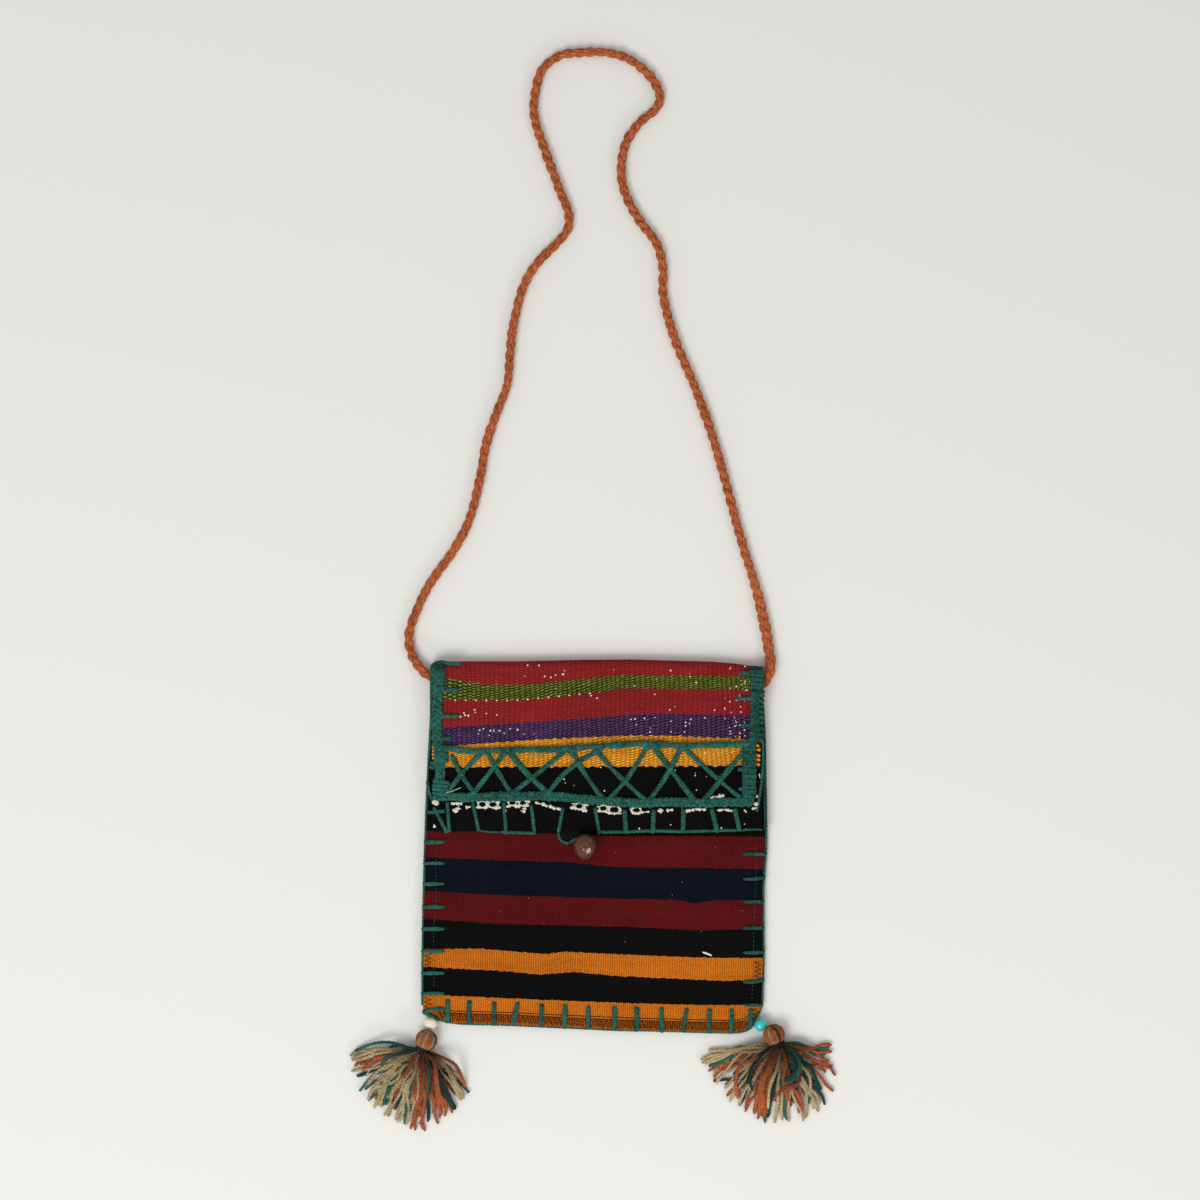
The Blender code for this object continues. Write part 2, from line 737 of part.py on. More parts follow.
def tassel(side, corner, locks, finish):
    """A wound head, a tied neck and locks that fan out over the surface, as one solid."""
    _, _, head, neck = corner_places(side, corner)
    shape = bmesh.new()
    bmesh.ops.create_uvsphere(shape, u_segments=12, v_segments=8, radius=0.5)
    turn = (neck - head).to_track_quat("Y", "Z").to_matrix()
    for vert in shape.verts:
        size = Vector(
            (vert.co.x * HEAD_WIDTH, vert.co.y * HEAD_LENGTH, vert.co.z * HEAD_HEIGHT)
        )
        vert.co = turn @ size + head
    made = object_from(f"tassel_{side}", shape, finish)
    tie = bmesh.new()
    bmesh.ops.create_uvsphere(tie, u_segments=10, v_segments=6, radius=NECK_RADIUS * NECK_SWELL)
    for vert in tie.verts:
        vert.co += neck
    tools = [object_from("tie", tie, finish)]
    tools += [lock_object(f"lock_{i}", neck, lock, finish) for i, lock in enumerate(locks)]
    join_by_union(made, tools)
    return made


def build():
    clear_scene()
    striped_red = material("flap_kilim", CLOTH_RED, 0.95)
    striped_dark = material("front_kilim", CLOTH_DARK, 0.95)
    green = material("green_wool", YARN_GREEN, 0.95)
    rust = material("rust_wool", YARN_RUST, 0.95)
    beige = material("beige_wool", YARN_BEIGE, 0.95)
    brown = material("carved_nut", BALL_BROWN, 0.35)
    white = material("white_bead", BEAD_WHITE, 0.6)
    turquoise = material("turquoise_bead", BEAD_TURQUOISE, 0.15)

    back_and_flap(striped_red)
    front_panel(striped_dark)
    strap_cord(rust)
    bed = braid_bed()
    braid_on_flap("flap_left_braid", LEFT_BRAID, BRAID_WIDTH, BRAID_HEIGHT, bed, green)
    braid_on_flap("flap_right_braid", RIGHT_BRAID, BRAID_WIDTH, BRAID_HEIGHT, bed, green)
    braid_on_flap("flap_lower_braid", LOWER_BRAID, LOWER_BRAID_WIDTH, BRAID_HEIGHT, bed, green)
    braid_on_flap("flap_upper_line", UPPER_LINE, UPPER_LINE_WIDTH, UPPER_LINE_HEIGHT, bed, green)
    bpy.data.objects.remove(bed)
    button_ball(brown)
    button_shank(green)
    button_loop(green)
    for side, corner, locks, glass in (
        ("left", LEFT_CORNER, LEFT_LOCKS, white),
        ("right", RIGHT_CORNER, RIGHT_LOCKS, turquoise),
    ):
        tassel_bead(side, corner, glass)
        tassel_thread(side, corner, green)
        tassel(side, corner, locks, beige)


build()
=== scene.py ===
# %% [markdown]
# A small kilim shoulder bag, lying on its back. The packed CAD gives the places and sizes, and
# this lesson dresses them: two striped cloths, thick green yarn work, a carved ball, a twisted
# wool cord, and a bead and a tassel at each lower corner.

# %% The frame
import math
import random
from collections import namedtuple
from random import choice, uniform

import bmesh
import bpy
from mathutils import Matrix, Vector, kdtree
from mathutils.noise import noise


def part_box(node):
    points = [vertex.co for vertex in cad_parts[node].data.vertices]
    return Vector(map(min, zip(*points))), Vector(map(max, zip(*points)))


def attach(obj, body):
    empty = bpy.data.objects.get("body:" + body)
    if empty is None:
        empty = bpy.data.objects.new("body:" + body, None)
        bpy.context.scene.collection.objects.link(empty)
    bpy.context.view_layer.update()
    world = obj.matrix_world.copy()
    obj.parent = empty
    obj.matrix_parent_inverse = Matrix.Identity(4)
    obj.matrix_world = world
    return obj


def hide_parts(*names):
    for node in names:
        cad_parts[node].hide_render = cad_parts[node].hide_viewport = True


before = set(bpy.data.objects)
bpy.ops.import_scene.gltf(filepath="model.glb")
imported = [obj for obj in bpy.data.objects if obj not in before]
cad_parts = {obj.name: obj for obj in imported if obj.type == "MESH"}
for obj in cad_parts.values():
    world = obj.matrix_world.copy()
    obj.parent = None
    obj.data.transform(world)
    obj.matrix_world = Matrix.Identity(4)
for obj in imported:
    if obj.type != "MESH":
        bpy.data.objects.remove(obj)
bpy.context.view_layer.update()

# %% [markdown]
# The photograph was taken from straight above, so one scale and one middle turn its pixels into
# places on the table. The camera hangs over the middle of the picture with a long lens, which
# keeps the bag's edges from leaning outwards.

# %% Camera
PIXEL = 0.00069  # metres on the table for one pixel of the 1200-pixel picture
POUCH_PIXEL = (594, 845)  # the pouch's middle, which is the frame's origin
LENS = 120
SENSOR = 36


def place(px, py, z=0.0):
    """A pixel of the picture as a place over the table."""
    return Vector(((px - POUCH_PIXEL[0]) * PIXEL, (POUCH_PIXEL[1] - py) * PIXEL, z))


def deselect():
    if bpy.context.object and bpy.context.object.mode != "OBJECT":
        bpy.ops.object.mode_set(mode="OBJECT")
    bpy.ops.object.select_all(action="DESELECT")


deselect()
camera_height = 1200 * PIXEL * LENS / SENSOR
bpy.ops.object.camera_add(location=place(600, 600, camera_height), rotation=(0, 0, 0))
camera = bpy.context.object
camera.data.lens = LENS
camera.data.sensor_width = SENSOR
camera.data.clip_end = 50
bpy.context.scene.camera = camera
print("camera height, m:", round(camera_height, 2))

# %% [markdown]
# Daylight comes softly from the lower left and makes short, soft shadows to the upper right. A sun
# lamp would draw them too hard, so one large area lamp stands for the window, and a pale sky fills
# the shadows. A second, small lamp is there for the carved ball, which mirrors it as a bright spot.

# %% Floor and light
SKY_STRENGTH = 0.56
LIGHT_FROM = Vector((-0.42, -0.62, 1.0))
LIGHT_AWAY = 2.6
WINDOW_SIZE, WINDOW_ENERGY = (1.9, 1.4), 51
GLINT_FROM = Vector((0.55, -0.69, 0.48))
GLINT_AWAY = 2.5
GLINT_SIZE, GLINT_ENERGY = 0.36, 8
FLOOR_DROP = 0.0002  # the floor lies this far under the bag, so that the two don't flicker
bpy.context.scene.view_settings.view_transform = "Standard"
world = bpy.data.worlds.new("soft_sky")
bpy.context.scene.world = world
world.use_nodes = True
sky = world.node_tree.nodes["Background"].inputs
sky["Color"].default_value = (1.0, 1.0, 0.99, 1)
sky["Strength"].default_value = SKY_STRENGTH
bpy.ops.object.light_add(type="AREA", location=place(600, 700) + LIGHT_FROM * LIGHT_AWAY)
window = bpy.context.object
window.name = "window"
window.data.shape = "RECTANGLE"
window.data.size, window.data.size_y = WINDOW_SIZE
window.data.energy = WINDOW_ENERGY
window.data.color = (1.0, 0.985, 0.96)
window.rotation_euler = LIGHT_FROM.to_track_quat("Z", "Y").to_euler()
bpy.ops.object.light_add(type="AREA", location=place(600, 800) + GLINT_FROM * GLINT_AWAY)
glint = bpy.context.object
glint.name = "second_window"
glint.data.size, glint.data.energy = GLINT_SIZE, GLINT_ENERGY
glint.data.color = (1.0, 0.95, 0.88)
glint.rotation_euler = GLINT_FROM.to_track_quat("Z", "Y").to_euler()
bpy.ops.mesh.primitive_plane_add(size=12, location=(0, 0, -FLOOR_DROP))
floor = bpy.context.object
floor.name = "floor"
print("light from", [round(c, 2) for c in LIGHT_FROM.normalized()])

# %% [markdown]
# A finish is written as sums on the surface's own coordinates. They could be wired by hand in the
# shader editor, one Math node after the other. Here one small class holds a socket and knows plus,
# minus, times and divided by, so that a weave can be typed the way it is thought of.


# %% Shader maths
class Term:
    """A shader socket that takes part in Python sums."""

    def __init__(self, finish, socket):
        self.finish, self.socket = finish, socket

    def maths(self, operation, *others):
        return self.finish.node("ShaderNodeMath", {"operation": operation}, [self, *others])

    def __add__(self, other):
        return self.maths("ADD", other)

    def __mul__(self, other):
        return self.maths("MULTIPLY", other)

    def __sub__(self, other):
        return self.maths("SUBTRACT", other)

    def __rsub__(self, other):
        return self.finish.node("ShaderNodeMath", {"operation": "SUBTRACT"}, [other, self])

    def __truediv__(self, other):
        return self.maths("DIVIDE", other)

    __radd__, __rmul__ = __add__, __mul__

    def floor(self):
        return self.maths("FLOOR")

    def fract(self):
        return self.maths("FRACT")

    def sin(self):
        return (self * (2 * math.pi)).maths("SINE")

    def power(self, exponent):
        return self.maths("POWER", exponent)

    def clamp(self):
        return self.finish.node("ShaderNodeClamp", {}, [self])


ENDINGS = ("add__", "sub__", "mul__", "div__")
print("a term knows:", [name for name in vars(Term) if name.endswith(ENDINGS)])

# %% [markdown]
# Every finish is one Principled BSDF with a few nodes before it. The same handful of nodes comes
# back in all of them, so one class makes the material, and each of its methods adds one kind of
# node. What is left to each finish is its own pattern.


# %% Finishes
class Finish:
    """One material: a Principled BSDF and the nodes that feed it."""

    def __init__(self, name, roughness=0.9, **sockets):
        self.material = bpy.data.materials.new(name)
        self.material.use_nodes = True
        self.tree = self.material.node_tree
        self.shader = self.tree.nodes["Principled BSDF"]
        self.shader.inputs["Roughness"].default_value = roughness
        for socket, value in sockets.items():
            self.shader.inputs[socket.replace("_", " ")].default_value = value

    def feed(self, socket, value):
        if isinstance(value, Term):
            self.tree.links.new(value.socket, socket)
        elif isinstance(value, tuple) and len(value) == 3 and socket.type == "RGBA":
            socket.default_value = (*value, 1.0)
        else:
            socket.default_value = value

    def node(self, kind, settings, values=(), output=0):
        made = self.tree.nodes.new(kind)
        stops = settings.get("stops")
        for key, value in settings.items():
            if key == "interpolation":
                made.color_ramp.interpolation = value
            elif key != "stops":
                setattr(made, key, value)
        if stops:
            while len(made.color_ramp.elements) < len(stops):
                made.color_ramp.elements.new(1.0)
            for element, (position, colour) in zip(made.color_ramp.elements, stops):
                element.position, element.color = position, (*colour, 1.0)
        pairs = values.items() if isinstance(values, dict) else enumerate(values)
        for key, value in pairs:
            self.feed(made.inputs[key], value)
        return Term(self, made.outputs[output])

    def parts(self, vector):
        """The x, y and z of a vector."""
        split = self.node("ShaderNodeSeparateXYZ", {}, [vector])
        return [Term(self, socket) for socket in split.socket.node.outputs]

    def join(self, x, y, z=0.0):
        return self.node("ShaderNodeCombineXYZ", {}, [x, y, z])

    def uv(self, layer="thread"):
        return self.parts(self.node("ShaderNodeUVMap", {"uv_map": layer}))[:2]

    def place(self):
        return self.node("ShaderNodeTexCoord", {}, (), 3)

    def attribute(self, name):
        return self.node("ShaderNodeAttribute", {"attribute_name": name}, (), 2)

    def noise(self, vector, scale, detail=2.0, roughness=0.5):
        values = {"Vector": vector, "Scale": scale, "Detail": detail, "Roughness": roughness}
        return self.node("ShaderNodeTexNoise", {}, values)

    def dice(self, vector):
        """A random number from 0 to 1 for each whole-number cell."""
        return self.node("ShaderNodeTexWhiteNoise", {"noise_dimensions": "2D"}, {"Vector": vector})

    def ramp(self, value, stops, interpolation="LINEAR"):
        settings = {"interpolation": interpolation, "stops": stops}
        return self.node("ShaderNodeValToRGB", settings, [value])

    def mix(self, share, first, second, blend="MIX"):
        settings = {"data_type": "RGBA", "blend_type": blend}
        return self.node("ShaderNodeMix", settings, {0: share, 6: first, 7: second}, 2)

    def shade(self, colour, factor):
        """The colour made lighter or darker by a factor that changes over the surface."""
        return self.mix(1.0, colour, self.join(factor, factor, factor), "MULTIPLY")

    def colour(self, value):
        self.feed(self.shader.inputs["Base Color"], value)

    def bump(self, height, distance, strength=1.0):
        values = {"Strength": strength, "Distance": distance, "Height": height}
        made = self.node("ShaderNodeBump", {}, values)
        self.feed(self.shader.inputs["Normal"], made)


PAPER = (0.83, 0.83, 0.80)
paper = Finish("pale_paper", roughness=0.85)
paper.colour(PAPER)
floor.data.materials.append(paper.material)
print("floor finish:", paper.material.name)

# %% [markdown]
# Wool yarn looks the same wherever it is sewn: plies that wind round each other, a soft sheen, furrows
# between the plies darkened with painted shade, and a felted surface. The fibres could be hair, but
# thousands of strands would be far too heavy for a part that is reused. So one finish draws them. It
# reads the piece's own map, which runs round the yarn in turns and along it in metres, so that the
# plies follow every bend.

# %% Wool
TEAL = (0.0180, 0.103, 0.079)
# teal with painted shade, for the right band and the right side stitches, on the side away from the
# light
SHADED_TEAL = (0.0150, 0.078, 0.061)
SEAM_GREEN = (0.019, 0.086, 0.066)
DARK_GREEN = (0.012, 0.046, 0.038)
CORD_RUST = (0.47, 0.122, 0.038)
GOLD_YARN = (0.56, 0.205, 0.022)
HEAD_COLOURS = {"rust": (0.36, 0.095, 0.031), "beige": (0.30, 0.215, 0.105)}
# the loose strands' dark green is partly dark yarn and partly painted shade between the strands
LOOSE_COLOURS = {
    "rust": (0.345, 0.092, 0.032), "beige": (0.400, 0.303, 0.163),
    "teal": (0.023, 0.120, 0.092), "dark": DARK_GREEN,
}
FELT_GRAIN, WORN_PATCH = 380.0, 70.0  # scales of the felted fibres and of the worn places
# painted shade near a tassel's tie: a loose strand starts dark at its root and lightens along it
ROOT_SHADE_RUN = 22.0  # how fast a strand lightens from its root, per metre


def wool(name, colour, plies=2, lay=0.0052, contrast=0.70, furrow=0.34, root=1.0, felted=0.3):
    """Twisted yarn. A ply winds once round it in the lay. Furrow is how dark the painted shade in the
    lines between the plies is, contrast how much the yarn is worn, and root how light its first end is
    under the painted shade near a tassel's tie."""
    made = Finish(name, roughness=0.92, Specular_IOR_Level=0.12, Sheen_Weight=0.05)
    turn, along = made.uv()
    wound = turn * plies + along * (plies / lay)
    ply = (wound.sin() * 0.5 + 0.5).power(0.7)
    fibre = made.noise(made.join(wound * 3.0, along * 900.0), 1.0, 3.0, 0.65)
    felt = made.noise(made.place(), FELT_GRAIN, 4.0, 0.65)
    worn = made.noise(made.place(), WORN_PATCH, 1.0)
    # painted shade in the furrows between the plies, over the fibres' own light and dark and the worn
    # places
    light = ply * furrow + fibre * 0.70 + worn * contrast + (0.25 - furrow * 0.5)
    light = (light + (felt - 0.5) * (felted * 3)).maths("MAXIMUM", 0.12)
    if root < 1:
        # painted shade where the strand leaves the tie
        light = light * (along * ROOT_SHADE_RUN + root).clamp()
    made.colour(made.shade(colour, light))
    made.bump(ply * 0.7 + fibre * 0.35 + felt * 0.3, 0.0005)
    return made.material


teal_wool = wool("teal_wool", TEAL, furrow=0.26, contrast=0.95, felted=1.0)
seam_wool = wool("seam_wool", SEAM_GREEN, furrow=0.26, contrast=0.9, felted=0.8)
dark_wool = wool("dark_green_wool", DARK_GREEN)
shaded_wool = wool("shaded_teal_wool", SHADED_TEAL, furrow=0.26, contrast=0.95, felted=1.0)
gold_wool = wool("gold_wool", GOLD_YARN, furrow=0.40, contrast=1.2, felted=1.0)
cord_wool = wool("cord_wool", CORD_RUST, plies=5, lay=0.016, furrow=0.40, contrast=0.55, felted=0.7)
head_wools = [
    wool("head_rust", HEAD_COLOURS["rust"], contrast=0.55, felted=0.6),
    wool("head_beige", HEAD_COLOURS["beige"], contrast=0.50, felted=0.6),
    teal_wool, dark_wool,
]
loose_wools = [
    wool(f"loose_{name}", colour, furrow=0.16, contrast=1.0, root=0.12, felted=0.6)
    for name, colour in LOOSE_COLOURS.items()
]
print("tassel wools:", [material.name for material in head_wools + loose_wools])

# %% [markdown]
# The small things have plain finishes: sewing threads, cotton, chalky bone, glossy turquoise glass and
# a polished nut. Each could have its own nodes, but from a metre away only their colour, their gloss
# and a faint mottling differ. So one function makes them all, apart from the nut, whose furrows get
# painted shade from the attribute that its modelling leaves on the mesh.

# %% Small finishes
BLACK = (0.0075, 0.0072, 0.0065)
NUT = (0.105, 0.038, 0.021)
NUT_ROUGHNESS = 0.17


def plain(name, colour, roughness, mottle=0.3, scale=300.0, **sockets):
    """One colour, a little lighter and darker in speckles of a noise's scale."""
    made = Finish(name, roughness=roughness, **sockets)
    speckle = made.noise(made.place(), scale, 3.0)
    made.colour(made.shade(colour, speckle * mottle + (1 - mottle / 2)))
    made.bump(speckle, 0.0001)
    return made.material


brown_thread = plain("brown_thread", (0.022, 0.009, 0.005), 0.8, Specular_IOR_Level=0.1)
pale_thread = plain("pale_thread", (0.065, 0.085, 0.095), 0.8)
cotton = plain("white_cotton", (0.84, 0.79, 0.66), 0.9)
cream_bone = plain("cream_bone", (0.80, 0.73, 0.60), 0.55, mottle=0.12)
turquoise_glass = plain("turquoise_glass", (0.030, 0.560, 0.520), 0.10, mottle=0.10, Coat_Weight=0.5)
cream_wool = plain("cream_wool", (0.72, 0.68, 0.56), 0.9, mottle=0.5, scale=700.0)
black_wool = plain("black_wool", BLACK, 0.9, mottle=0.6, scale=900.0, Specular_IOR_Level=0.1)


def polished_nut():
    made = Finish("polished_nut", roughness=NUT_ROUGHNESS, Specular_IOR_Level=0.40)
    grain = made.noise(made.place(), 500.0, 4.0)
    # painted shade in the furrows and in the pit at the ball's lower end
    dark = made.attribute("furrow").clamp()
    made.colour(made.shade(NUT, (grain * 0.8 + 0.55) * (1.0 - dark * 0.60)))
    made.bump(grain, 0.00003)
    return made.material


carved_nut = polished_nut()
print("materials so far:", len(bpy.data.materials))

# %% [markdown]
# Sewn and laid yarn runs in soft bends, without corners. A Bezier curve could draw them, but its
# points are spaced unevenly, and each line here is also lifted and sunk point by point. So a small
# function runs a smooth curve through the given points and gives back evenly spaced ones.


# %% Smooth lines
def mix(a, b, share):
    return a + (b - a) * share


def smooth_step(share):
    share = min(1.0, max(0.0, share))
    return share * share * (3 - 2 * share)


def smooth(points, step):
    """Points about step apart on one smooth curve through the given points."""
    ends = [2 * points[0] - points[1], *points, 2 * points[-1] - points[-2]]
    found = [points[0]]
    for before, start, end, after in zip(ends, ends[1:], ends[2:], ends[3:]):
        for i in range(1, 9):
            t = i / 8
            curve = 2 * start + (end - before) * t
            curve += (2 * before - 5 * start + 4 * end - after) * t**2
            curve += (3 * start - before - 3 * end + after) * t**3
            found.append(curve / 2)
    lengths = [0.0]
    for a, b in zip(found, found[1:]):
        lengths.append(lengths[-1] + (b - a).length)
    count, spaced, k = max(2, round(lengths[-1] / step)), [], 0
    for i in range(count + 1):
        target = lengths[-1] * i / count
        while k < len(found) - 2 and lengths[k + 1] < target:
            k += 1
        share = (target - lengths[k]) / max(lengths[k + 1] - lengths[k], 1e-9)
        spaced.append(found[k].lerp(found[k + 1], min(1.0, share)))
    return spaced


corner = smooth([Vector((0, 0, 0)), Vector((1, 0, 0)), Vector((1, 1, 0))], 0.1)
print("a corner of 2 m becomes a bend of", len(corner), "points")

# %% [markdown]
# Every yarn, from a stitch to a ply of the strap, is a ring of points carried along a smooth line.
# A bevelled curve would be the usual way, but it can't be pressed flat on the cloth, carries no
# thread map and has no lobes for its plies. So the rings are worked out here and fill a mesh. A
# skein gathers all the yarns of one piece.


# %% Skein
class Skein:
    """Collects the rings of many yarns into one mesh."""

    def __init__(self, name, materials):
        self.name, self.materials = name, materials
        self.points, self.faces, self.uvs, self.slots = [], [], [], []

    def yarn(
        self, line, radius, flat=1.0, sides=8, lobes=0.16, lay=0.0052, slot=0, taper=0.35, uneven=0.10,
        start=0.0,
    ):
        """One yarn along a line. Flat presses it down, lobes gives it two plies, taper thins its two
        ends, uneven swells and thins it, and start is where its thread map begins."""
        along, first = start, len(self.points)
        radii = radius if isinstance(radius, list) else [radius] * len(line)
        up = Vector((0, 0, 1))
        start_turn = random.random()
        for i, point in enumerate(line):
            forward = (line[min(i + 1, len(line) - 1)] - line[max(i - 1, 0)]).normalized()
            across = forward.cross(up)
            if across.length < 0.2:
                across = forward.cross(Vector((0, 1, 0)))
            across.normalize()
            over = across.cross(forward)
            if i:
                along += (point - line[i - 1]).length
            thick = radii[i] * (1 if 0 < i < len(line) - 1 else taper)
            thick *= 1 + 0.10 * noise(point * 260) + (uneven - 0.10) * noise(point * 120)
            for k in range(sides):
                angle = 2 * math.pi * k / sides
                turn = 2 * (angle + 2 * math.pi * (along / lay + start_turn))
                reach = thick * (1 + lobes * math.cos(turn))
                offset = across * math.cos(angle) + over * math.sin(angle) * flat
                self.points.append(point + offset * reach)
            if i:
                before, here = first + (i - 1) * sides, first + i * sides
                back = along - (point - line[i - 1]).length
                for k in range(sides):
                    n = (k + 1) % sides
                    self.faces.append((before + k, here + k, here + n, before + n))
                    low, high = k / sides + start_turn, (k + 1) / sides + start_turn
                    self.uvs += [(low, back), (low, along), (high, along), (high, back)]
                    self.slots.append(slot)
        last = first + (len(line) - 1) * sides
        for ring, order in ((first, 1), (last, -1)):
            self.faces.append(tuple(range(ring, ring + sides))[::order])
            self.uvs += [(0.0, 0.0)] * sides
            self.slots.append(slot)

    def hairs(self, line, radius, every=0.0030, slot=0):
        """Loose fibres that stand off a yarn, which make its outline soft."""
        for i in range(2, len(line) - 2):
            if random.random() > (line[i] - line[i - 1]).length / every:
                continue
            forward = (line[i + 1] - line[i - 1]).normalized()
            side = Vector((-forward.y, forward.x, 0)) * choice((-1, 1))
            start = line[i] + side * radius * uniform(0.2, 0.8) + Vector((0, 0, radius * 0.5))
            away = side * uniform(0.4, 1.0) + forward * uniform(-1.6, 1.6)
            bend = side * uniform(-0.0004, 0.0004)
            reach = away * uniform(0.0006, 0.0016)
            path = [start, start + reach * 0.5 + bend, start + reach - Vector((0, 0, radius * 0.5))]
            self.yarn(path, uniform(0.00010, 0.00020), sides=4, lobes=0, slot=slot)

    def piece(self, slot="green_wool", replaces=()):
        """The finished object: one mesh with the thread map and a finish for each yarn."""
        mesh = bpy.data.meshes.new(self.name)
        mesh.from_pydata(self.points, [], self.faces)
        layer = mesh.uv_layers.new(name="thread")
        for loop, uv in zip(layer.data, self.uvs):
            loop.uv = uv
        mesh.polygons.foreach_set("material_index", self.slots)
        for material in self.materials:
            mesh.materials.append(material)
        mesh.shade_smooth()
        made = bpy.data.objects.new(self.name, mesh)
        bpy.context.scene.collection.objects.link(made)
        outwards(made)
        finish_piece(made, replaces)
        return made


trial = Skein("trial", [teal_wool])
trial.yarn(corner, 0.1)
print("a yarn through those points has", len(trial.faces), "faces")

# %% [markdown]
# Each piece ends in the same way: its faces are turned outwards, it is tied to the bag's one body, and
# the solids that it stands for are hidden. It could be written out each time, but a step that is
# forgotten once is hard to find.


# %% Finishing a piece
def outwards(piece):
    """Turns a piece's faces to point outwards."""
    shape = bmesh.new()
    shape.from_mesh(piece.data)
    bmesh.ops.recalc_face_normals(shape, faces=shape.faces)
    shape.to_mesh(piece.data)
    shape.free()


def finish_piece(piece, replaces=()):
    """A piece rides on the bag and stands for its CAD nodes, which it hides."""
    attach(piece, "root")
    if replaces:
        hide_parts(*replaces)
    count = sum(len(p.vertices) - 2 for p in piece.data.polygons)
    print(f"{piece.name}: {count} triangles")


print("nodes to dress:", len(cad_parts))

# %% [markdown]
# The strap is one wool cord of two fat plies, laid in one open loop. A round tube with a twisted
# finish would lack the notches along its outline, which is what makes a cord of it. So each ply is
# a yarn of its own that winds round the CAD's route, a little unevenly, and both stay above the
# table. Near the right corner the cord is twisted less tightly and swells.

# %% Strap
STRAP_DIAMETER = 0.0060
ON_TABLE = 0.00305  # height of the cord's middle where it lies on the table
STRAP_START = [
    (-0.1035, 0.1148, 0.00550), (-0.1085, 0.1154, 0.00550), (-0.1133, 0.1168, 0.00550),
    (-0.1172, 0.1194, 0.00550), (-0.1209, 0.1235, 0.00470), (-0.1241, 0.1284, 0.00370),
]
STRAP_LOOP = [
    (-0.1265, 0.1345), (-0.1278, 0.1420), (-0.1266, 0.1495), (-0.1226, 0.1610), (-0.1130, 0.1805),
    (-0.0970, 0.2030), (-0.0860, 0.2245), (-0.0790, 0.2510), (-0.0745, 0.2760), (-0.0675, 0.2970),
    (-0.0600, 0.3170), (-0.0580, 0.3380), (-0.0555, 0.3590), (-0.0487, 0.3850), (-0.0385, 0.4020),
    (-0.0255, 0.4150), (-0.0178, 0.4255), (-0.0180, 0.4372), (-0.0243, 0.4530), (-0.0345, 0.4810),
    (-0.0410, 0.5010), (-0.0408, 0.5170), (-0.0360, 0.5340), (-0.0240, 0.5440), (-0.0085, 0.5463),
    (0.0095, 0.5462), (0.0255, 0.5410), (0.0395, 0.5290), (0.0455, 0.5165), (0.0420, 0.5070),
    (0.0310, 0.4975), (0.0220, 0.4840), (0.0188, 0.4680), (0.0210, 0.4505), (0.0310, 0.4310),
    (0.0430, 0.4150), (0.0475, 0.3980), (0.0478, 0.3780), (0.0560, 0.3480), (0.0690, 0.3170),
    (0.0810, 0.2840), (0.0905, 0.2510), (0.1010, 0.2120), (0.1120, 0.1760), (0.1185, 0.1470),
]
STRAP_END = [
    (0.1212, 0.1300, 0.00350), (0.1213, 0.1240, 0.00450), (0.1203, 0.1180, 0.00550),
    (0.1170, 0.1126, 0.00550), (0.1122, 0.1100, 0.00550), (0.1060, 0.1090, 0.00550),
]
STRAP_ROUTE = STRAP_START + [(x, y, ON_TABLE) for x, y in STRAP_LOOP] + STRAP_END
PLY_RADIUS = 0.00206
PLY_REACH = 0.00126  # from the cord's middle to a ply's
CORD_LAY = 0.0152  # a ply's length for one turn
SWOLLEN_FROM, SWELLING = 0.925, 1.22  # metres along the strap, and how much it swells there


def strap():
    line = smooth([Vector(point) for point in STRAP_ROUTE], 0.0012)
    skein = Skein("strap", [cord_wool])
    random.seed(11)
    for start in (0.0, 0.5):
        ply, radii, along = [], [], 0.0
        for i, point in enumerate(line):
            forward = (line[min(i + 1, len(line) - 1)] - line[max(i - 1, 0)]).normalized()
            across = forward.cross(Vector((0, 0, 1))).normalized()
            over = across.cross(forward)
            along += (point - line[i - 1]).length if i else 0.0
            turn = along / CORD_LAY + start + 0.16 * noise(point * 34)
            angle = 2 * math.pi * turn
            swell = mix(1.0, SWELLING, smooth_step((along - SWOLLEN_FROM) / 0.02))
            swell *= 1 + 0.10 * noise(point * 55)
            wander = 1 + 0.12 * noise(point * 120)
            reach = PLY_REACH * swell * wander
            spot = point + (across * math.cos(angle) + over * math.sin(angle)) * reach
            spot.z = max(spot.z, PLY_RADIUS * swell * 1.03)
            ply.append(spot)
            radii.append(PLY_RADIUS * swell)
        skein.yarn(ply, radii, sides=12, lobes=0.05, lay=0.02, taper=0.8)
        skein.hairs(ply[10:-10], PLY_RADIUS, every=0.0042)
    made = skein.piece(slot="rust_wool", replaces=["strap_cord"])
    length = sum((b - a).length for a, b in zip(line, line[1:]))
    print("strap length, m:", round(length, 3))
    line[::4] + [line[-1]]
    return made


strap()

# %% [markdown]
# Both cloths hang together by a few measured outlines: the pouch's sides, its lower and upper
# ends, and the height of the crown over its hollow. The cloths could be draped by a cloth
# simulation, but then they wouldn't lie where the solids do. So their heights are worked out from
# the CAD's own numbers, and every yarn that is sewn on asks the same functions for its height.

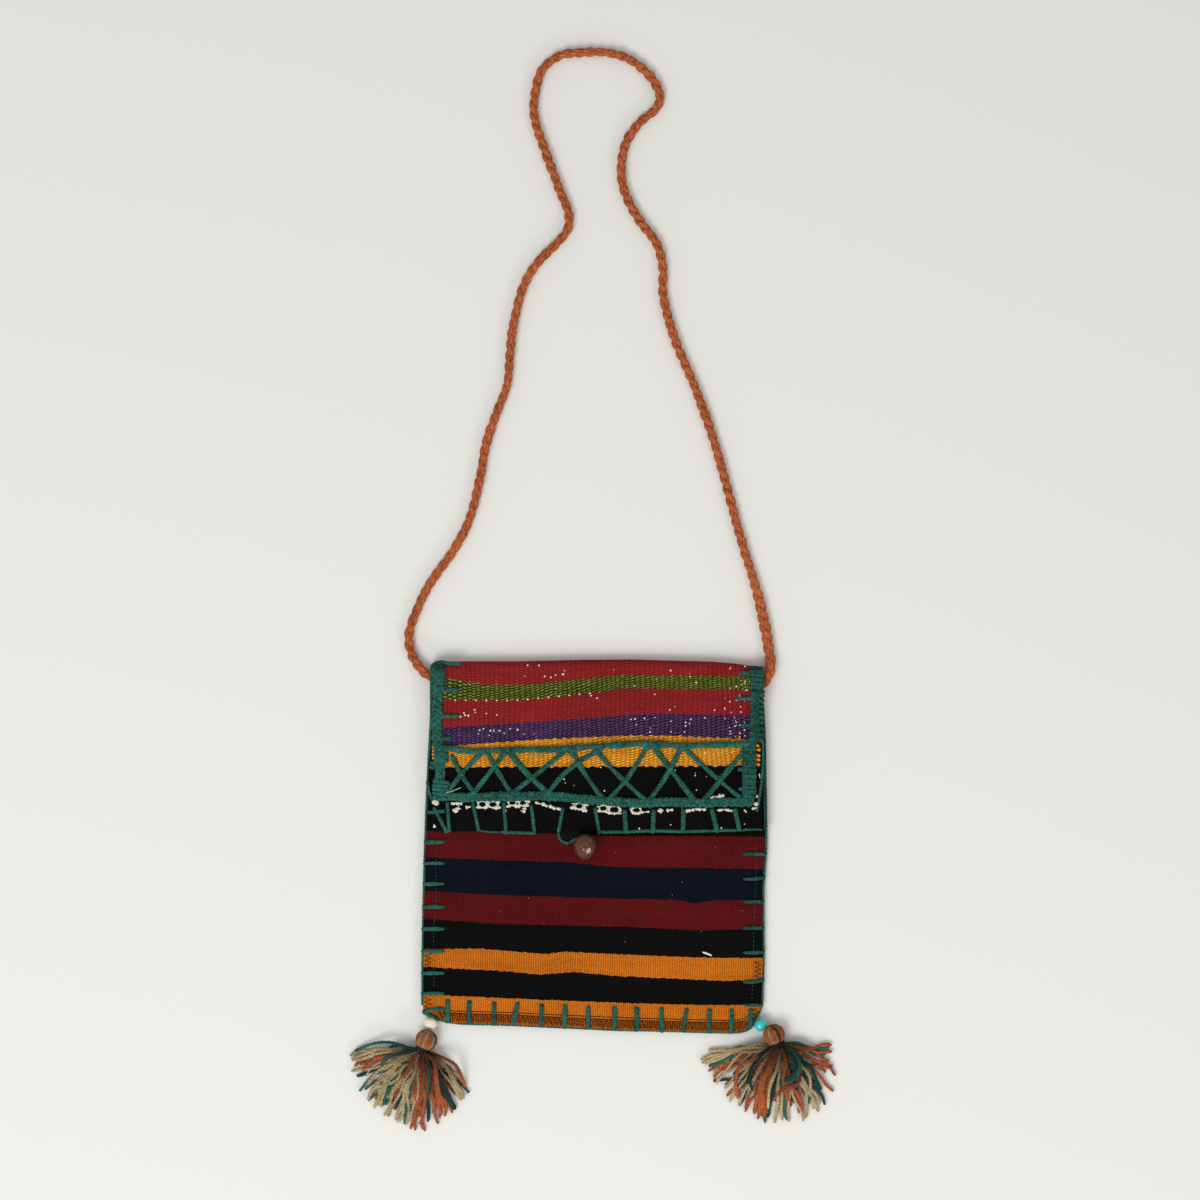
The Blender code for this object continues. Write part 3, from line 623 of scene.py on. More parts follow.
# %% The pouch's outline
POUCH_WIDTH, POUCH_LENGTH = 0.236, 0.254
CLOTH, LAYER_GAP, CROWN = 0.0022, 0.0004, 0.0062
SIDE_POWER, END_POWER = 5.0, 6.0
MOUTH_DROP, RISE_START, RISE_RUN = 0.030, 0.0015, 0.0095
EDGE_ROOM = 0.0011  # between the cloths' side edges and the solids'
SEAM_TOP = 2 * CLOTH + LAYER_GAP
FOLD_HEIGHT = STRAP_DIAMETER + 0.0006 + 2 * CLOTH
FOLD_RADIUS = FOLD_HEIGHT / 2
SideRow = namedtuple("SideRow", "along left right")  # shares of the pouch's length and width
POUCH_SIDES = [
    SideRow(0.00, -0.503, 0.492), SideRow(0.14, -0.503, 0.497),
    SideRow(0.35, -0.499, 0.496), SideRow(0.48, -0.495, 0.505),
    SideRow(0.62, -0.490, 0.504), SideRow(0.80, -0.481, 0.499),
    SideRow(1.00, -0.475, 0.495),
]
FLAP_SIDES = [
    SideRow(0.00, -0.475, 0.495), SideRow(0.50, -0.475, 0.494),
    SideRow(1.00, -0.477, 0.495),
]
EndRow = namedtuple("EndRow", "across bottom top flap_edge")  # share of the width, then lengths
POUCH_ENDS = [
    EndRow(0.000, -0.450, 0.490, 0.045), EndRow(0.042, -0.467, 0.499, 0.040),
    EndRow(0.083, -0.481, 0.500, 0.040), EndRow(0.250, -0.485, 0.500, 0.042),
    EndRow(0.450, -0.494, 0.504, 0.040), EndRow(0.600, -0.500, 0.505, 0.036),
    EndRow(0.850, -0.506, 0.499, 0.043), EndRow(0.917, -0.507, 0.494, 0.044),
    EndRow(0.958, -0.499, 0.489, 0.044), EndRow(1.000, -0.440, 0.478, 0.048),
]


print("rows of the outline:", len(POUCH_SIDES) + len(FLAP_SIDES) + len(POUCH_ENDS))

# %% [markdown]
# Between the measured rows the outline runs straight. A curve through the rows would be rounder, but
# nobody could tell them apart. The heights are a crown that falls off to the sides and to the
# bottom, and the flap rides on it and climbs to the fold.


# %% Heights of the cloths
def between(pairs, at):
    """The value at a place, straight between the pairs of place and value."""
    for (low, start), (high, end) in zip(pairs, pairs[1:]):
        if at <= high:
            return mix(start, end, max(0.0, (at - low) / (high - low)))
    return pairs[-1][1]


def column(rows, key, name):
    return [(getattr(row, key), getattr(row, name)) for row in rows]


LEFT, RIGHT = column(POUCH_SIDES, "along", "left"), column(POUCH_SIDES, "along", "right")
FLAP_LEFT, FLAP_RIGHT = column(FLAP_SIDES, "along", "left"), column(FLAP_SIDES, "along", "right")
BOTTOM, TOP = column(POUCH_ENDS, "across", "bottom"), column(POUCH_ENDS, "across", "top")
FLAP_EDGE = column(POUCH_ENDS, "across", "flap_edge")


def side_x(along, across):
    return POUCH_WIDTH * mix(between(LEFT, along), between(RIGHT, along), across)


def flap_x(along, across):
    return POUCH_WIDTH * mix(between(FLAP_LEFT, along), between(FLAP_RIGHT, along), across)


def end_y(pairs, across):
    return POUCH_LENGTH * between(pairs, across)


def pouch_share(across, y):
    bottom, top = end_y(BOTTOM, across), end_y(TOP, across)
    return min(1.0, max(0.0, (y - bottom) / (top - bottom)))


def across_at(x, y):
    across = 0.5
    for _ in range(3):
        along = pouch_share(across, y)
        left, right = side_x(along, 0.0), side_x(along, 1.0)
        across = min(1.0, max(0.0, (x - left) / (right - left)))
    return across


def selvedge(across):
    """How far a cloth's point moves inwards, so that the edge yarn shows outside the cloth."""
    return EDGE_ROOM * (1 - 2 * across)


def crown(across, along):
    side = 1 - abs(2 * across - 1) ** SIDE_POWER
    return SEAM_TOP + CROWN * side * (1 - (1 - along) ** END_POWER)


def front_top(x, y):
    """Height of the front panel's outer face."""
    across = across_at(x, y)
    bottom, mouth = end_y(BOTTOM, across), end_y(TOP, across) - MOUTH_DROP
    return crown(across, min(1.0, max(0.0, (y - bottom) / (mouth - bottom))))


def flap_top(x, y):
    """Height of the flap's outer face."""
    across = across_at(x, y)
    top = end_y(TOP, across)
    past_fold = (y - (top - FOLD_RADIUS)) / FOLD_RADIUS
    if past_fold > 0:
        return FOLD_RADIUS * (1 + math.sqrt(max(0.0, 1 - past_fold**2)))
    riding = front_top(x, y) + LAYER_GAP + CLOTH
    return mix(riding, FOLD_HEIGHT, smooth_step((y - top + MOUTH_DROP - RISE_START) / RISE_RUN))


print("fold height, mm:", round(1000 * FOLD_HEIGHT, 1))

# %% [markdown]
# Kilim is weft-faced: coloured wefts are beaten down over hidden warps, so the cloth shows ribs
# that run up the bag and small floats across them. Where two colours meet, their wefts bite into
# each other like teeth. Modelled wefts would take millions of triangles, and a picture of a weave
# would repeat. So the weave is worked out in the finish. The stripes wander, so each cloth gets a
# straightened map: across it in metres, and along it in metres that keep each colour change at one
# value.

# %% Kilim finish
PURPLE = (0.073, 0.033, 0.099)
MADDER = (0.322, 0.0225, 0.0235)
MOSS = (0.108, 0.130, 0.018)
GOLD = (0.860, 0.345, 0.026)
NIGHT = (0.0048, 0.0050, 0.0046)
WINE = (0.126, 0.0083, 0.0095)
NAVY = (0.0052, 0.0074, 0.0150)
AMBER = (0.705, 0.187, 0.0130)
# the lowest stripe: amber made darker along the bottom seam, under the overlock's thread
DARKER_AMBER = (0.470, 0.118, 0.0100)  # amber under the overlock's thread
CONTRAST = {  # how strongly the weave's light and shade show on a colour
    MADDER: 0.85, MOSS: 2.9, GOLD: 1.5, PURPLE: 2.3, AMBER: 1.45, DARKER_AMBER: 1.8,
}


def kilim(name, low, stripes, rib, weft, tooth, bite, depth, relief, columns, tilt, swing):
    """A striped weave. Stripes are (height on the map where one starts, colour), from low upwards.
    Rib is the width of one rib and weft the height of one pick, in metres. Where colours meet, the
    teeth stand a tooth apart and reach in by the bite. Depth is the bump's. Relief is how strongly
    the weave shades the cloth, and columns how strongly the ribs show. Picks slope by the tilt,
    more to one side of the cloth than the other, and swing from it here and there."""
    made = Finish(name, roughness=0.95, Specular_IOR_Level=0.06)
    across, along = made.uv("weave")
    high = stripes[-1][0] + 0.05
    # the ribs sway, and each colour change is ragged and toothed
    sway = made.noise(made.join(across * 34.0, along * 34.0), 1.0, 2.0) - 0.5
    across = across + sway * (rib * 1.8)
    ragged = made.noise(made.join(across * 260.0, along * 40.0), 1.0, 1.0)
    teeth = (across / tooth).sin() * bite + (ragged - 0.5) * 0.0014
    spread = (along + teeth - low) * (1 / (high - low))
    stops = [(max(0.0, (start - low) / (high - low)), colour) for start, colour in stripes]
    colour = made.ramp(spread, stops, "CONSTANT")
    grades = [(start, (CONTRAST.get(c, 1.0) / 2,) * 3) for start, c in stops]
    contrast = made.ramp(spread, grades, "CONSTANT") * (2 * relief)
    # a rib is a round hump, and its picks are set off from the next rib's by half a pick
    ribs = across / rib
    number, inside = ribs.floor(), ribs.fract()
    hump = (inside * 0.5).sin()
    odd = (number * 0.5).fract() * 2.0
    swings = made.noise(made.join(across * 14.0, along * 24.0), 1.0, 1.0) * swing
    slope = swings + across * tilt - swing / 2
    waver = made.noise(made.join(across * 110.0, along * 110.0), 1.0, 2.0) * 2.2
    pass_at = along / weft + odd * 0.5 + inside * slope + waver
    pick = (pass_at.sin() * 0.5 + 0.5).power(1.4)
    bead = (hump * columns + (1.0 - columns) * 0.8) * pick
    # each float of weft has its own lightness, its fibres, and the wear and dye of its place
    float_light = made.dice(made.join(number, pass_at.floor())) - 0.5
    drawn = along + inside * slope * weft
    fibre = made.noise(made.join(across * 420.0, drawn * 2200.0), 1.0, 3.0, 0.62) - 0.5
    abrash = made.noise(made.join(across * 9.0, along * 190.0), 1.0, 2.0) - 0.5
    cloudy = made.noise(made.place(), 28.0, 2.0) - 0.5
    # the weave's relief as painted light and shade: the picks' beads and the ribs' crowns lit, the gaps
    # between them in shade
    shown = (bead - 0.30) * 1.10 + float_light * 0.60 * bead + fibre * 0.85
    light = shown * contrast + hump * (columns * 0.12) + abrash * 0.40 + cloudy * 0.30 + 0.72
    made.colour(made.shade(colour, light.maths("MAXIMUM", 0.10)))
    made.bump(hump * (columns * 0.35) + bead * 0.9 + fibre * 0.35, depth)
    return made


print("kilim colours with a contrast of their own:", len(CONTRAST))

# %% [markdown]
# A cloth starts as a flat grid, whose points are moved to where the cloth lies, and a Solidify
# modifier gives the wool its thickness. A closed solid could be cut instead, but a grid keeps a
# clean map for the weave. A stripe's edge is given in picture pixels and read straight between
# them, and the map is stretched so that each edge keeps one height on it.

# %% Cloth helper
WALL_SPARE = 0.0001  # how much thinner the cloth's wall is than the solid's


def cloth(name, columns, rows, shape, weave, finish, replaces, outer=-1):
    """A grid whose points go where shape says. Weave gives each point its place on the map."""
    deselect()
    bpy.ops.mesh.primitive_grid_add(x_subdivisions=columns, y_subdivisions=rows, size=2)
    made = bpy.context.object
    made.name = made.data.name = name
    mesh = made.data
    shares = [((v.co.x + 1) / 2, (v.co.y + 1) / 2) for v in mesh.vertices]
    points = [shape(across, along) for across, along in shares]
    for vert, point in zip(mesh.vertices, points):
        vert.co = point
    maps = [weave(across, along, point) for (across, along), point in zip(shares, points)]
    while mesh.uv_layers:
        mesh.uv_layers.remove(mesh.uv_layers[0])
    layer = mesh.uv_layers.new(name="weave")
    for loop in mesh.loops:
        layer.data[loop.index].uv = maps[loop.vertex_index]
    wall = made.modifiers.new("wall", "SOLIDIFY")
    wall.thickness = CLOTH - WALL_SPARE
    wall.offset = outer
    bpy.ops.object.modifier_apply(modifier="wall")
    bpy.ops.object.shade_smooth()
    made.data.materials.append(finish)
    finish_piece(made, replaces)
    return made


def line_at(pairs, x):
    """A stripe's edge, given in picture pixels, as its height over the table's middle."""
    px = x / PIXEL + POUCH_PIXEL[0]
    return (POUCH_PIXEL[1] - between(pairs, px)) * PIXEL


def straightened(edges, x, y):
    """The map height of a place: each colour change keeps its mean height."""
    found = [(line_at(pairs, x), line_at(pairs, 0.0)) for pairs in edges]
    found.sort()
    if y <= found[0][0]:
        return found[0][1] + y - found[0][0]
    for (low, low_mean), (high, high_mean) in zip(found, found[1:]):
        if y <= high:
            return mix(low_mean, high_mean, (y - low) / (high - low))
    return found[-1][1] + y - found[-1][0]


def means(edges):
    """Each stripe edge's height on the map."""
    return [line_at(pairs, 0.0) for pairs in edges]


print("cloth wall, mm:", round(1000 * (CLOTH - WALL_SPARE), 1))

# %% [markdown]
# The front panel is one fine cloth, crowned over the hollow of the pouch. Its stripes could be
# straight bands, but the real ones sag and climb from seam to seam, which is much of its charm.
# So each line below is one colour change, by picture pixel, from the left seam to the right one.
# The lowest comes first, at the bottom seam, and the highest lies just under the flap.

# %% Front panel
FRONT_EDGES = [
    [(425, 1009), (446, 1013), (500, 1016), (580, 1019.5), (620, 1021.5), (700, 1023.5), (765, 1022)],
    [(425, 996), (500, 999), (560, 1001.5), (620, 1004), (700, 1006), (765, 1006)],
    [(425, 968), (500, 971.6), (540, 975.5), (575, 973), (620, 977), (725, 982), (765, 980.7)],
    [(425, 950), (480, 949), (545, 954.5), (565, 952), (620, 954.7), (700, 958), (765, 959)],
    [(425, 920), (500, 924.6), (560, 926), (620, 927.4), (700, 931), (765, 930)],
    [(425, 892.7), (500, 896.5), (620, 900), (675, 901), (693, 905), (712, 902), (765, 901.5)],
    [(425, 858), (500, 860.7), (560, 862), (620, 867.7), (700, 868.4), (765, 870)],
    [(425, 832.6), (480, 832), (560, 835), (620, 837), (700, 837), (765, 838)],
]
FRONT_COLOURS = [DARKER_AMBER, AMBER, NIGHT, AMBER, NIGHT, WINE, NAVY, WINE, NIGHT]
FRONT_RIB = 0.0016
FRONT_RAISED = 0.0010  # the crown is nearer the camera, which makes its stripes look lower


def front_shape(across, along):
    bottom, mouth = end_y(BOTTOM, across), end_y(TOP, across) - MOUTH_DROP
    y = mix(bottom, mouth, along)
    x = side_x(pouch_share(across, y), across)
    rumple = 0.00022 * noise(Vector((x * 60, y * 60, 4))) - 0.00022
    edge = 0.0004 * noise(Vector((x * 90, y * 90, 9)))
    z = crown(across, along) + rumple * min(1.0, along * 12)
    return Vector((x + selvedge(across) + edge * (across > 0.99 or across < 0.01), y, z))


def front_weave(across, along, point):
    return across * POUCH_WIDTH, straightened(FRONT_EDGES, point.x, point.y - FRONT_RAISED)


front_starts = means(FRONT_EDGES)
front_low = -0.16
front_stripes = list(zip([front_low, *front_starts], FRONT_COLOURS))
front_kilim = kilim(
    "front_kilim_cloth", front_low, front_stripes,
    rib=FRONT_RIB, weft=0.0011, tooth=0.0048, bite=0.00012, depth=0.0003, relief=0.66,
    columns=1.0, tilt=0.0, swing=0.5,
)
print("front's stripe edges, mm:", [round(1000 * start) for start in front_starts])
front_cloth = cloth(
    "front_cloth", 296, 88, front_shape, front_weave, front_kilim.material,
    ["front_panel"],
)

# %% [markdown]
# The flap and the back are one coarser cloth, folded over at the top. They could be two grids, but
# the fold is in sight and would show a seam. So one grid runs up the back, round the fold and down
# the front. Its ribs are twice as wide and stand proud, so they are pressed into the grid itself.

# %% Flap and back
FLAP_EDGES = [
    [(430, 766.6), (620, 766), (770, 765)],
    [(430, 748), (540, 740), (620, 736.5), (670, 736.5), (748, 740), (770, 741)],
    [(430, 729.5), (500, 724.4), (550, 721), (620, 715.7), (640, 713.6), (700, 715), (770, 717)],
    [(430, 698), (447, 699), (515, 699.6), (560, 696), (600, 691.6), (625, 688), (770, 690)],
    [(430, 677), (447, 678), (487, 685), (535, 684), (580, 679.5), (618, 675.5), (770, 677)],
]
FLAP_COLOURS = [NIGHT, GOLD, PURPLE, MADDER, MOSS, MADDER]
FLAP_RIB = 0.00345
RIB_DEPTH = 0.00013
BACK_SHARE, FOLD_SHARE = 0.63, 0.69  # where the fold starts and ends along the cloth


def flap_shape(across, along):
    bottom, top = end_y(BOTTOM, across), end_y(TOP, across)
    fold, lower = top - FOLD_RADIUS, end_y(FLAP_EDGE, across)
    rib = across * POUCH_WIDTH / FLAP_RIB
    groove = RIB_DEPTH * (abs(math.sin(math.pi * rib)) ** 0.7 - 1)
    if along <= BACK_SHARE:
        y = mix(bottom, fold, along / BACK_SHARE)
        x = side_x(pouch_share(across, y), across) + selvedge(across)
        return Vector((x, y, 0.0002 - groove * 0.5))
    if along <= FOLD_SHARE:
        angle = math.pi * ((along - BACK_SHARE) / (FOLD_SHARE - BACK_SHARE) - 0.5)
        radius = FOLD_RADIUS + groove - 0.0001
        y = fold + radius * math.cos(angle)
        return Vector((flap_x(0, across) + selvedge(across), y, FOLD_RADIUS + radius * math.sin(angle)))
    reach = (along - FOLD_SHARE) / (1 - FOLD_SHARE)
    y = mix(fold, lower, reach)
    x = flap_x(reach, across) + selvedge(across)
    ragged = 0.00035 * noise(Vector((across * 80, 7, 0))) * smooth_step(reach * 6 - 5)
    rumple = 0.0003 * noise(Vector((x * 45, y * 45, 1)))
    return Vector((x, y + ragged, flap_top(x, y) + groove + rumple * smooth_step(reach * 5)))


def flap_weave(across, along, point):
    if along > FOLD_SHARE:
        return across * POUCH_WIDTH, straightened(FLAP_EDGES, point.x, point.y)
    top = end_y(TOP, across) - FOLD_RADIUS
    past = (FOLD_SHARE - along) * 0.30
    if along <= BACK_SHARE:
        past = (FOLD_SHARE - BACK_SHARE) * 0.30 + top - point.y
    return across * POUCH_WIDTH, straightened(FLAP_EDGES, point.x, top) + past


flap_low = -0.02
flap_starts = means(FLAP_EDGES)
back_starts = [0.150, 0.158, 0.182, 0.202, 0.226, 0.234, 0.270, 0.282, 0.318, 0.340, 0.364]
back_colours = [MOSS, MADDER, PURPLE, GOLD, MADDER, NIGHT, MADDER, MOSS, WINE, PURPLE, NIGHT]
flap_stripes = list(zip([flap_low, *flap_starts], FLAP_COLOURS))
flap_stripes += list(zip(back_starts, back_colours))
print("flap's stripe edges, mm:", [round(1000 * start) for start in flap_starts])
flap_kilim = kilim(
    "flap_kilim_cloth", flap_low, flap_stripes,
    rib=FLAP_RIB, weft=0.00172, tooth=0.0069, bite=0.00042, depth=0.0005, relief=0.74,
    columns=0.72, tilt=-4.6, swing=1.6,
)
flap_cloth = cloth(
    "back_and_flap_cloth", 274, 158, flap_shape, flap_weave, flap_kilim.material,
    ["back_and_flap"], outer=1,
)

# %% [markdown]
# The yarn work is drawn stitch by stitch, as it was sewn. It could be a pattern in the cloth's
# finish, but these stitches stand some millimetres proud. So each one is a line of
# picture pixels laid on the cloth under it. Its ends dive into the cloth, and a yarn that crosses
# another one rises over it.

# %% Sewing helpers
DIVE_RUN = 0.0016  # how much of a stitch's end sinks into the cloth
TURNING = 1.5  # how much a zigzag's stitch turns along the band that holds it


class Laid:
    """Remembers where yarn already lies, so that a later yarn can rise over it."""

    def __init__(self):
        self.places = []

    def add(self, line):
        self.places += [(p.x, p.y) for p in line]

    def tree(self):
        made = kdtree.KDTree(max(1, len(self.places)))
        for i, (x, y) in enumerate(self.places):
            made.insert((x, y, 0.0), i)
        made.balance()
        return made


def sewn(pixels, top, radius, lift=0.5, dive=(True, True), under=None, step=0.0009):
    """A stitch's line: on the cloth, sinking at its ends, and over the yarn that is under it."""
    flat_line = smooth([place(*pixel) for pixel in pixels], step)
    total = sum((b - a).length for a, b in zip(flat_line, flat_line[1:]))
    tree = under.tree() if under and under.places else None
    line, along = [], 0.0
    for i, point in enumerate(flat_line):
        along += (point - flat_line[i - 1]).length if i else 0.0
        z = top(point.x, point.y) + radius * lift
        if tree:
            near = tree.find((point.x, point.y, 0.0))[2]
            z += 1.5 * radius * (1 - smooth_step(near / (2.6 * radius)))
        if dive[0]:
            z -= 2.2 * radius * (1 - smooth_step(along / DIVE_RUN))
        if dive[1]:
            z -= 2.2 * radius * (1 - smooth_step((total - along) / DIVE_RUN))
        line.append(Vector((point.x, point.y, z)))
    return line


print("a stitch's end sinks over, mm:", 1000 * DIVE_RUN)

# %% [markdown]
# Three more ways of laying yarn come back: plaits of three, short yarns wound across a band, and
# stitches whose ends run on under a band or turn round the cloth's edge. They could be drawn anew
# at each place, but as functions they treat every band alike.


# %% Plaits, wound yarn and turned ends
def braid(skein, pixels, top, width, radius, pitch, slot=0, flat=0.8):
    """Three yarns plaited along a line, felted and pulled out of true as old yarn work is."""
    middle = smooth([place(*pixel) for pixel in pixels], 0.0009)
    reach = width / 2 - radius * 0.9
    for k in range(3):
        line, along = [], 0.0
        for i, point in enumerate(middle):
            forward = (middle[min(i + 1, len(middle) - 1)] - middle[max(i - 1, 0)]).normalized()
            along += (point - middle[i - 1]).length if i else 0.0
            phase = 2 * math.pi * (along / pitch + k / 3) + 2.4 * noise(point * 110)
            wander = 1 + 0.35 * noise(point * 170 + Vector((0, 0, 3 * k)))
            side = Vector((-forward.y, forward.x, 0)) * reach * wander * math.sin(phase)
            spot = point + side
            rise = radius * (1.0 + 0.40 * math.sin(2 * phase) + 0.4 * noise(point * 210))
            line.append(Vector((spot.x, spot.y, top(spot.x, spot.y) + rise)))
        skein.yarn(line, radius * uniform(0.92, 1.1), flat=flat, slot=slot, uneven=0.5)
        skein.hairs(line, radius, every=0.0022)


def overwound(skein, pixels, top, radius, lift, slots=(0,)):
    """Short yarns laid across a band, one beside the other. Pixels hold each one's two ends."""
    for start, end in pixels:
        middle = ((start[0] + end[0]) / 2, (start[1] + end[1]) / 2 + uniform(-0.8, 0.8))
        line = sewn([start, middle, end], top, radius, lift=lift + uniform(-0.2, 0.3))
        skein.yarn(line, radius * uniform(0.85, 1.1), flat=0.75, slot=choice(slots))


def stretched(pixels, first, last):
    """A stitch with its two ends drawn out by some pixels, under the bands that hold them."""
    (ax, ay), (bx, by) = pixels[0], pixels[1]
    run = math.hypot(bx - ax, by - ay)
    start = (ax - (bx - ax) / run * first * TURNING, ay - (by - ay) / run * first / TURNING)
    (ax, ay), (bx, by) = pixels[-2], pixels[-1]
    run = math.hypot(bx - ax, by - ay)
    end = (bx + (bx - ax) / run * last * TURNING, by + (by - ay) / run * last / TURNING)
    return [start, *pixels, end]


def bag_top(x, y):
    """Height of whichever cloth is uppermost."""
    across = across_at(x, y)
    return flap_top(x, y) if y > end_y(FLAP_EDGE, across) else front_top(x, y)


def wrap(line, side, drop=0.0032):
    """Takes the outer end of a stitch round the cloth's edge, at the line's start."""
    start = line[0]
    out = Vector((side * 0.0005, 0, 0))
    turn = [
        Vector((start.x, start.y, start.z - drop * fall)) + out * reach
        for fall, reach in ((1.0, 1.0), (0.45, 1.25), (0.08, 0.8))
    ]
    return turn + line[1:]


print("height in the middle of the flap, mm:", round(1000 * bag_top(0.0, 0.09), 1))

# %% [markdown]
# Two zigzags cross each other over the gold and black bands, between a thin laid line above and a
# plaited band below. One repeated unit would be quicker, but no two of these stitches are alike,
# so each has its own pixels. The second zigzag was sewn over the first, and the ends of both run
# on under the line and the band.

# %% Zigzags on the flap
STITCH = 0.00172  # half the width of a single stitch
FELTED = {"flat": 0.6, "uneven": 0.45}  # how single yarns have matted on the flap
UNDER_ZIGZAG = [
    [(453.5, 757), (462, 774), (474, 791)], [(487, 751), (499, 772), (511, 791)],
    [(510, 752), (526, 771), (545, 789)], [(574, 754), (585, 773), (600, 794)],
    [(598, 752), (617, 773), (644, 798)], [(654, 747), (672, 771), (694, 799)],
    [(683, 747), (706, 768), (736, 794)],
]
OVER_ZIGZAG = [
    [(449, 790), (464, 771), (482, 752)], [(474, 792), (490, 772), (506, 751)],
    [(513, 792), (537, 773), (561, 754)], [(548, 792), (563, 774), (581, 760), (597, 751)],
    [(610, 797), (628, 776), (646, 748)], [(649, 799), (666, 775), (681, 747)],
    [(707, 795), (724, 774), (743, 751)],
]
UNDER_LINE, UNDER_BAND = 4.0, 6.0  # pixels by which a stitch runs on at its top and its foot


def flap_zigzags():
    skein = Skein("flap_zigzag_stitches", [teal_wool])
    laid = Laid()
    for rows, first, last, under in (
        (UNDER_ZIGZAG, UNDER_LINE, UNDER_BAND, None), (OVER_ZIGZAG, UNDER_BAND, UNDER_LINE, laid),
    ):
        for pixels in rows:
            line = sewn(stretched(pixels, first, last), flap_top, STITCH, under=under)
            if under is None:
                laid.add(line)
            skein.yarn(line, STITCH * uniform(0.88, 1.10), **FELTED)
            skein.hairs(line, STITCH)
    return skein.piece()


random.seed(21)
flap_zigzags()

# %% [markdown]
# The bands are plaited yarn that has felted together. A flat ribbon with a plaited finish would be
# lighter, but its outline would be too clean. So three yarns are really plaited along each band. At
# both top corners and at the foot of each side band more yarn is wound across, and the upper line
# is knotted where the zigzag turns.

# %% Bands on the flap
UPPER_LINE = [
    (440, 747), (449, 747.7), (472, 750.5), (500, 749.5), (522, 749), (546, 748.8), (566, 748),
    (594, 745.5), (620, 744), (646, 742.8), (681, 745), (700, 744.5), (722, 744), (752, 743.2),
]
LOWER_BAND = [
    (436, 795.5), (473, 796.3), (507, 795.5), (546, 794.8), (566, 796.2), (594, 799.2), (623, 801),
    (643, 802.2), (667, 800.5), (701, 802), (732, 801), (752, 801.5),
]
LEFT_BAND = [(438.5, 663), (438.3, 690), (437.4, 720), (438.6, 745), (441, 770), (441, 797)]
RIGHT_BAND = [
    (756.5, 667), (755.5, 690), (754.3, 715), (753.5, 735), (748.5, 748), (748.2, 775), (748.3, 800),
]
# Yarn wound across a band: its left and right ends, the stretch's high and low ends, the pitch and
# the slant, all in pixels
LEFT_WOUND = [
    (433.6, 446, 662.5, 689, 3.4, 1.5), (434, 449, 747, 764, 3.4, -1.0),
    (433, 450, 782, 798, 3.6, -1.5),
]
RIGHT_WOUND = [
    (763.5, 749, 667, 692, 3.6, 1.2), (755.5, 741.5, 745, 798, 3.1, 0.8),
    (763.5, 756, 694, 742, 5.2, 1.5),
]
Band = namedtuple("Band", "name route width pitch wool wound stands_for")
BANDS = [
    Band("left_band", LEFT_BAND, 0.0074, 0.0118, teal_wool, LEFT_WOUND, "flap_left_braid"),
    # the right band wears the teal with painted shade
    Band("right_band", RIGHT_BAND, 0.0070, 0.0118, shaded_wool, RIGHT_WOUND, "flap_right_braid"),
    Band("lower_band", LOWER_BAND, 0.0064, 0.0098, teal_wool, [], "flap_lower_braid"),
]
BAND_YARN = 0.00145
LINE_YARN = 0.00200
WOUND_LIFT = 1.7  # how far the wound yarn's middle lies over the cloth, in its own radii
MOSTLY_FIRST = (0,) * 11 + (1,)  # one wound yarn in twelve is dark
KNOTS = [(568, 749), (651, 745), (656, 747), (682, 746), (507, 751), (600, 747), (573, 751)]
KNOT_SIZE = 2.6  # pixels from a knot's middle to its yarn's


def wound_rows(left, right, high, low, pitch, slant):
    """Ends of the yarns that are wound across a band, in pixels."""
    rows, py = [], high
    while py < low:
        rows.append(((left + uniform(-0.6, 0.6), py + slant), (right, py)))
        py += pitch * uniform(0.85, 1.2)
    return rows


def knots(skein):
    for px, py in KNOTS:
        ring = []
        for i in range(12):
            angle = 0.9 * math.pi * i / 5 + px
            size = KNOT_SIZE * (1.1 - 0.05 * i)
            ring.append((px + size * math.cos(angle), py + size * 0.8 * math.sin(angle)))
        skein.yarn(sewn(ring, flap_top, LINE_YARN, lift=2.1), LINE_YARN * 0.75, flat=0.9)


def flap_bands():
    random.seed(22)
    wound = [[row for stretch in band.wound for row in wound_rows(*stretch)] for band in BANDS]
    for band, rows in zip(BANDS, wound):
        skein = Skein(band.name, [band.wool, dark_wool])
        braid(skein, band.route, flap_top, band.width, BAND_YARN, band.pitch)
        overwound(skein, rows, flap_top, BAND_YARN, WOUND_LIFT, slots=MOSTLY_FIRST)
        skein.piece(replaces=[band.stands_for])
    skein = Skein("upper_line", [teal_wool])
    line = sewn(UPPER_LINE, flap_top, LINE_YARN, lift=1.1)
    skein.yarn(line, LINE_YARN, **FELTED)
    skein.hairs(line, LINE_YARN)
    knots(skein)
    skein.piece(replaces=["flap_upper_line"])


flap_bands()

# %% [markdown]
# Blanket stitches bind the flap's lower edge, and short straight stitches reach in from the side
# bands. Over the ball the edge is bare. A row of equal stitches could be spaced by a loop, but the
# real ones lean and differ, so each has its own pixels. At both ends of the zigzags the gold cloth
# shows between wound yarns as a row of dots, so black yarn covers the cloth there and short gold
# stitches lie on it.

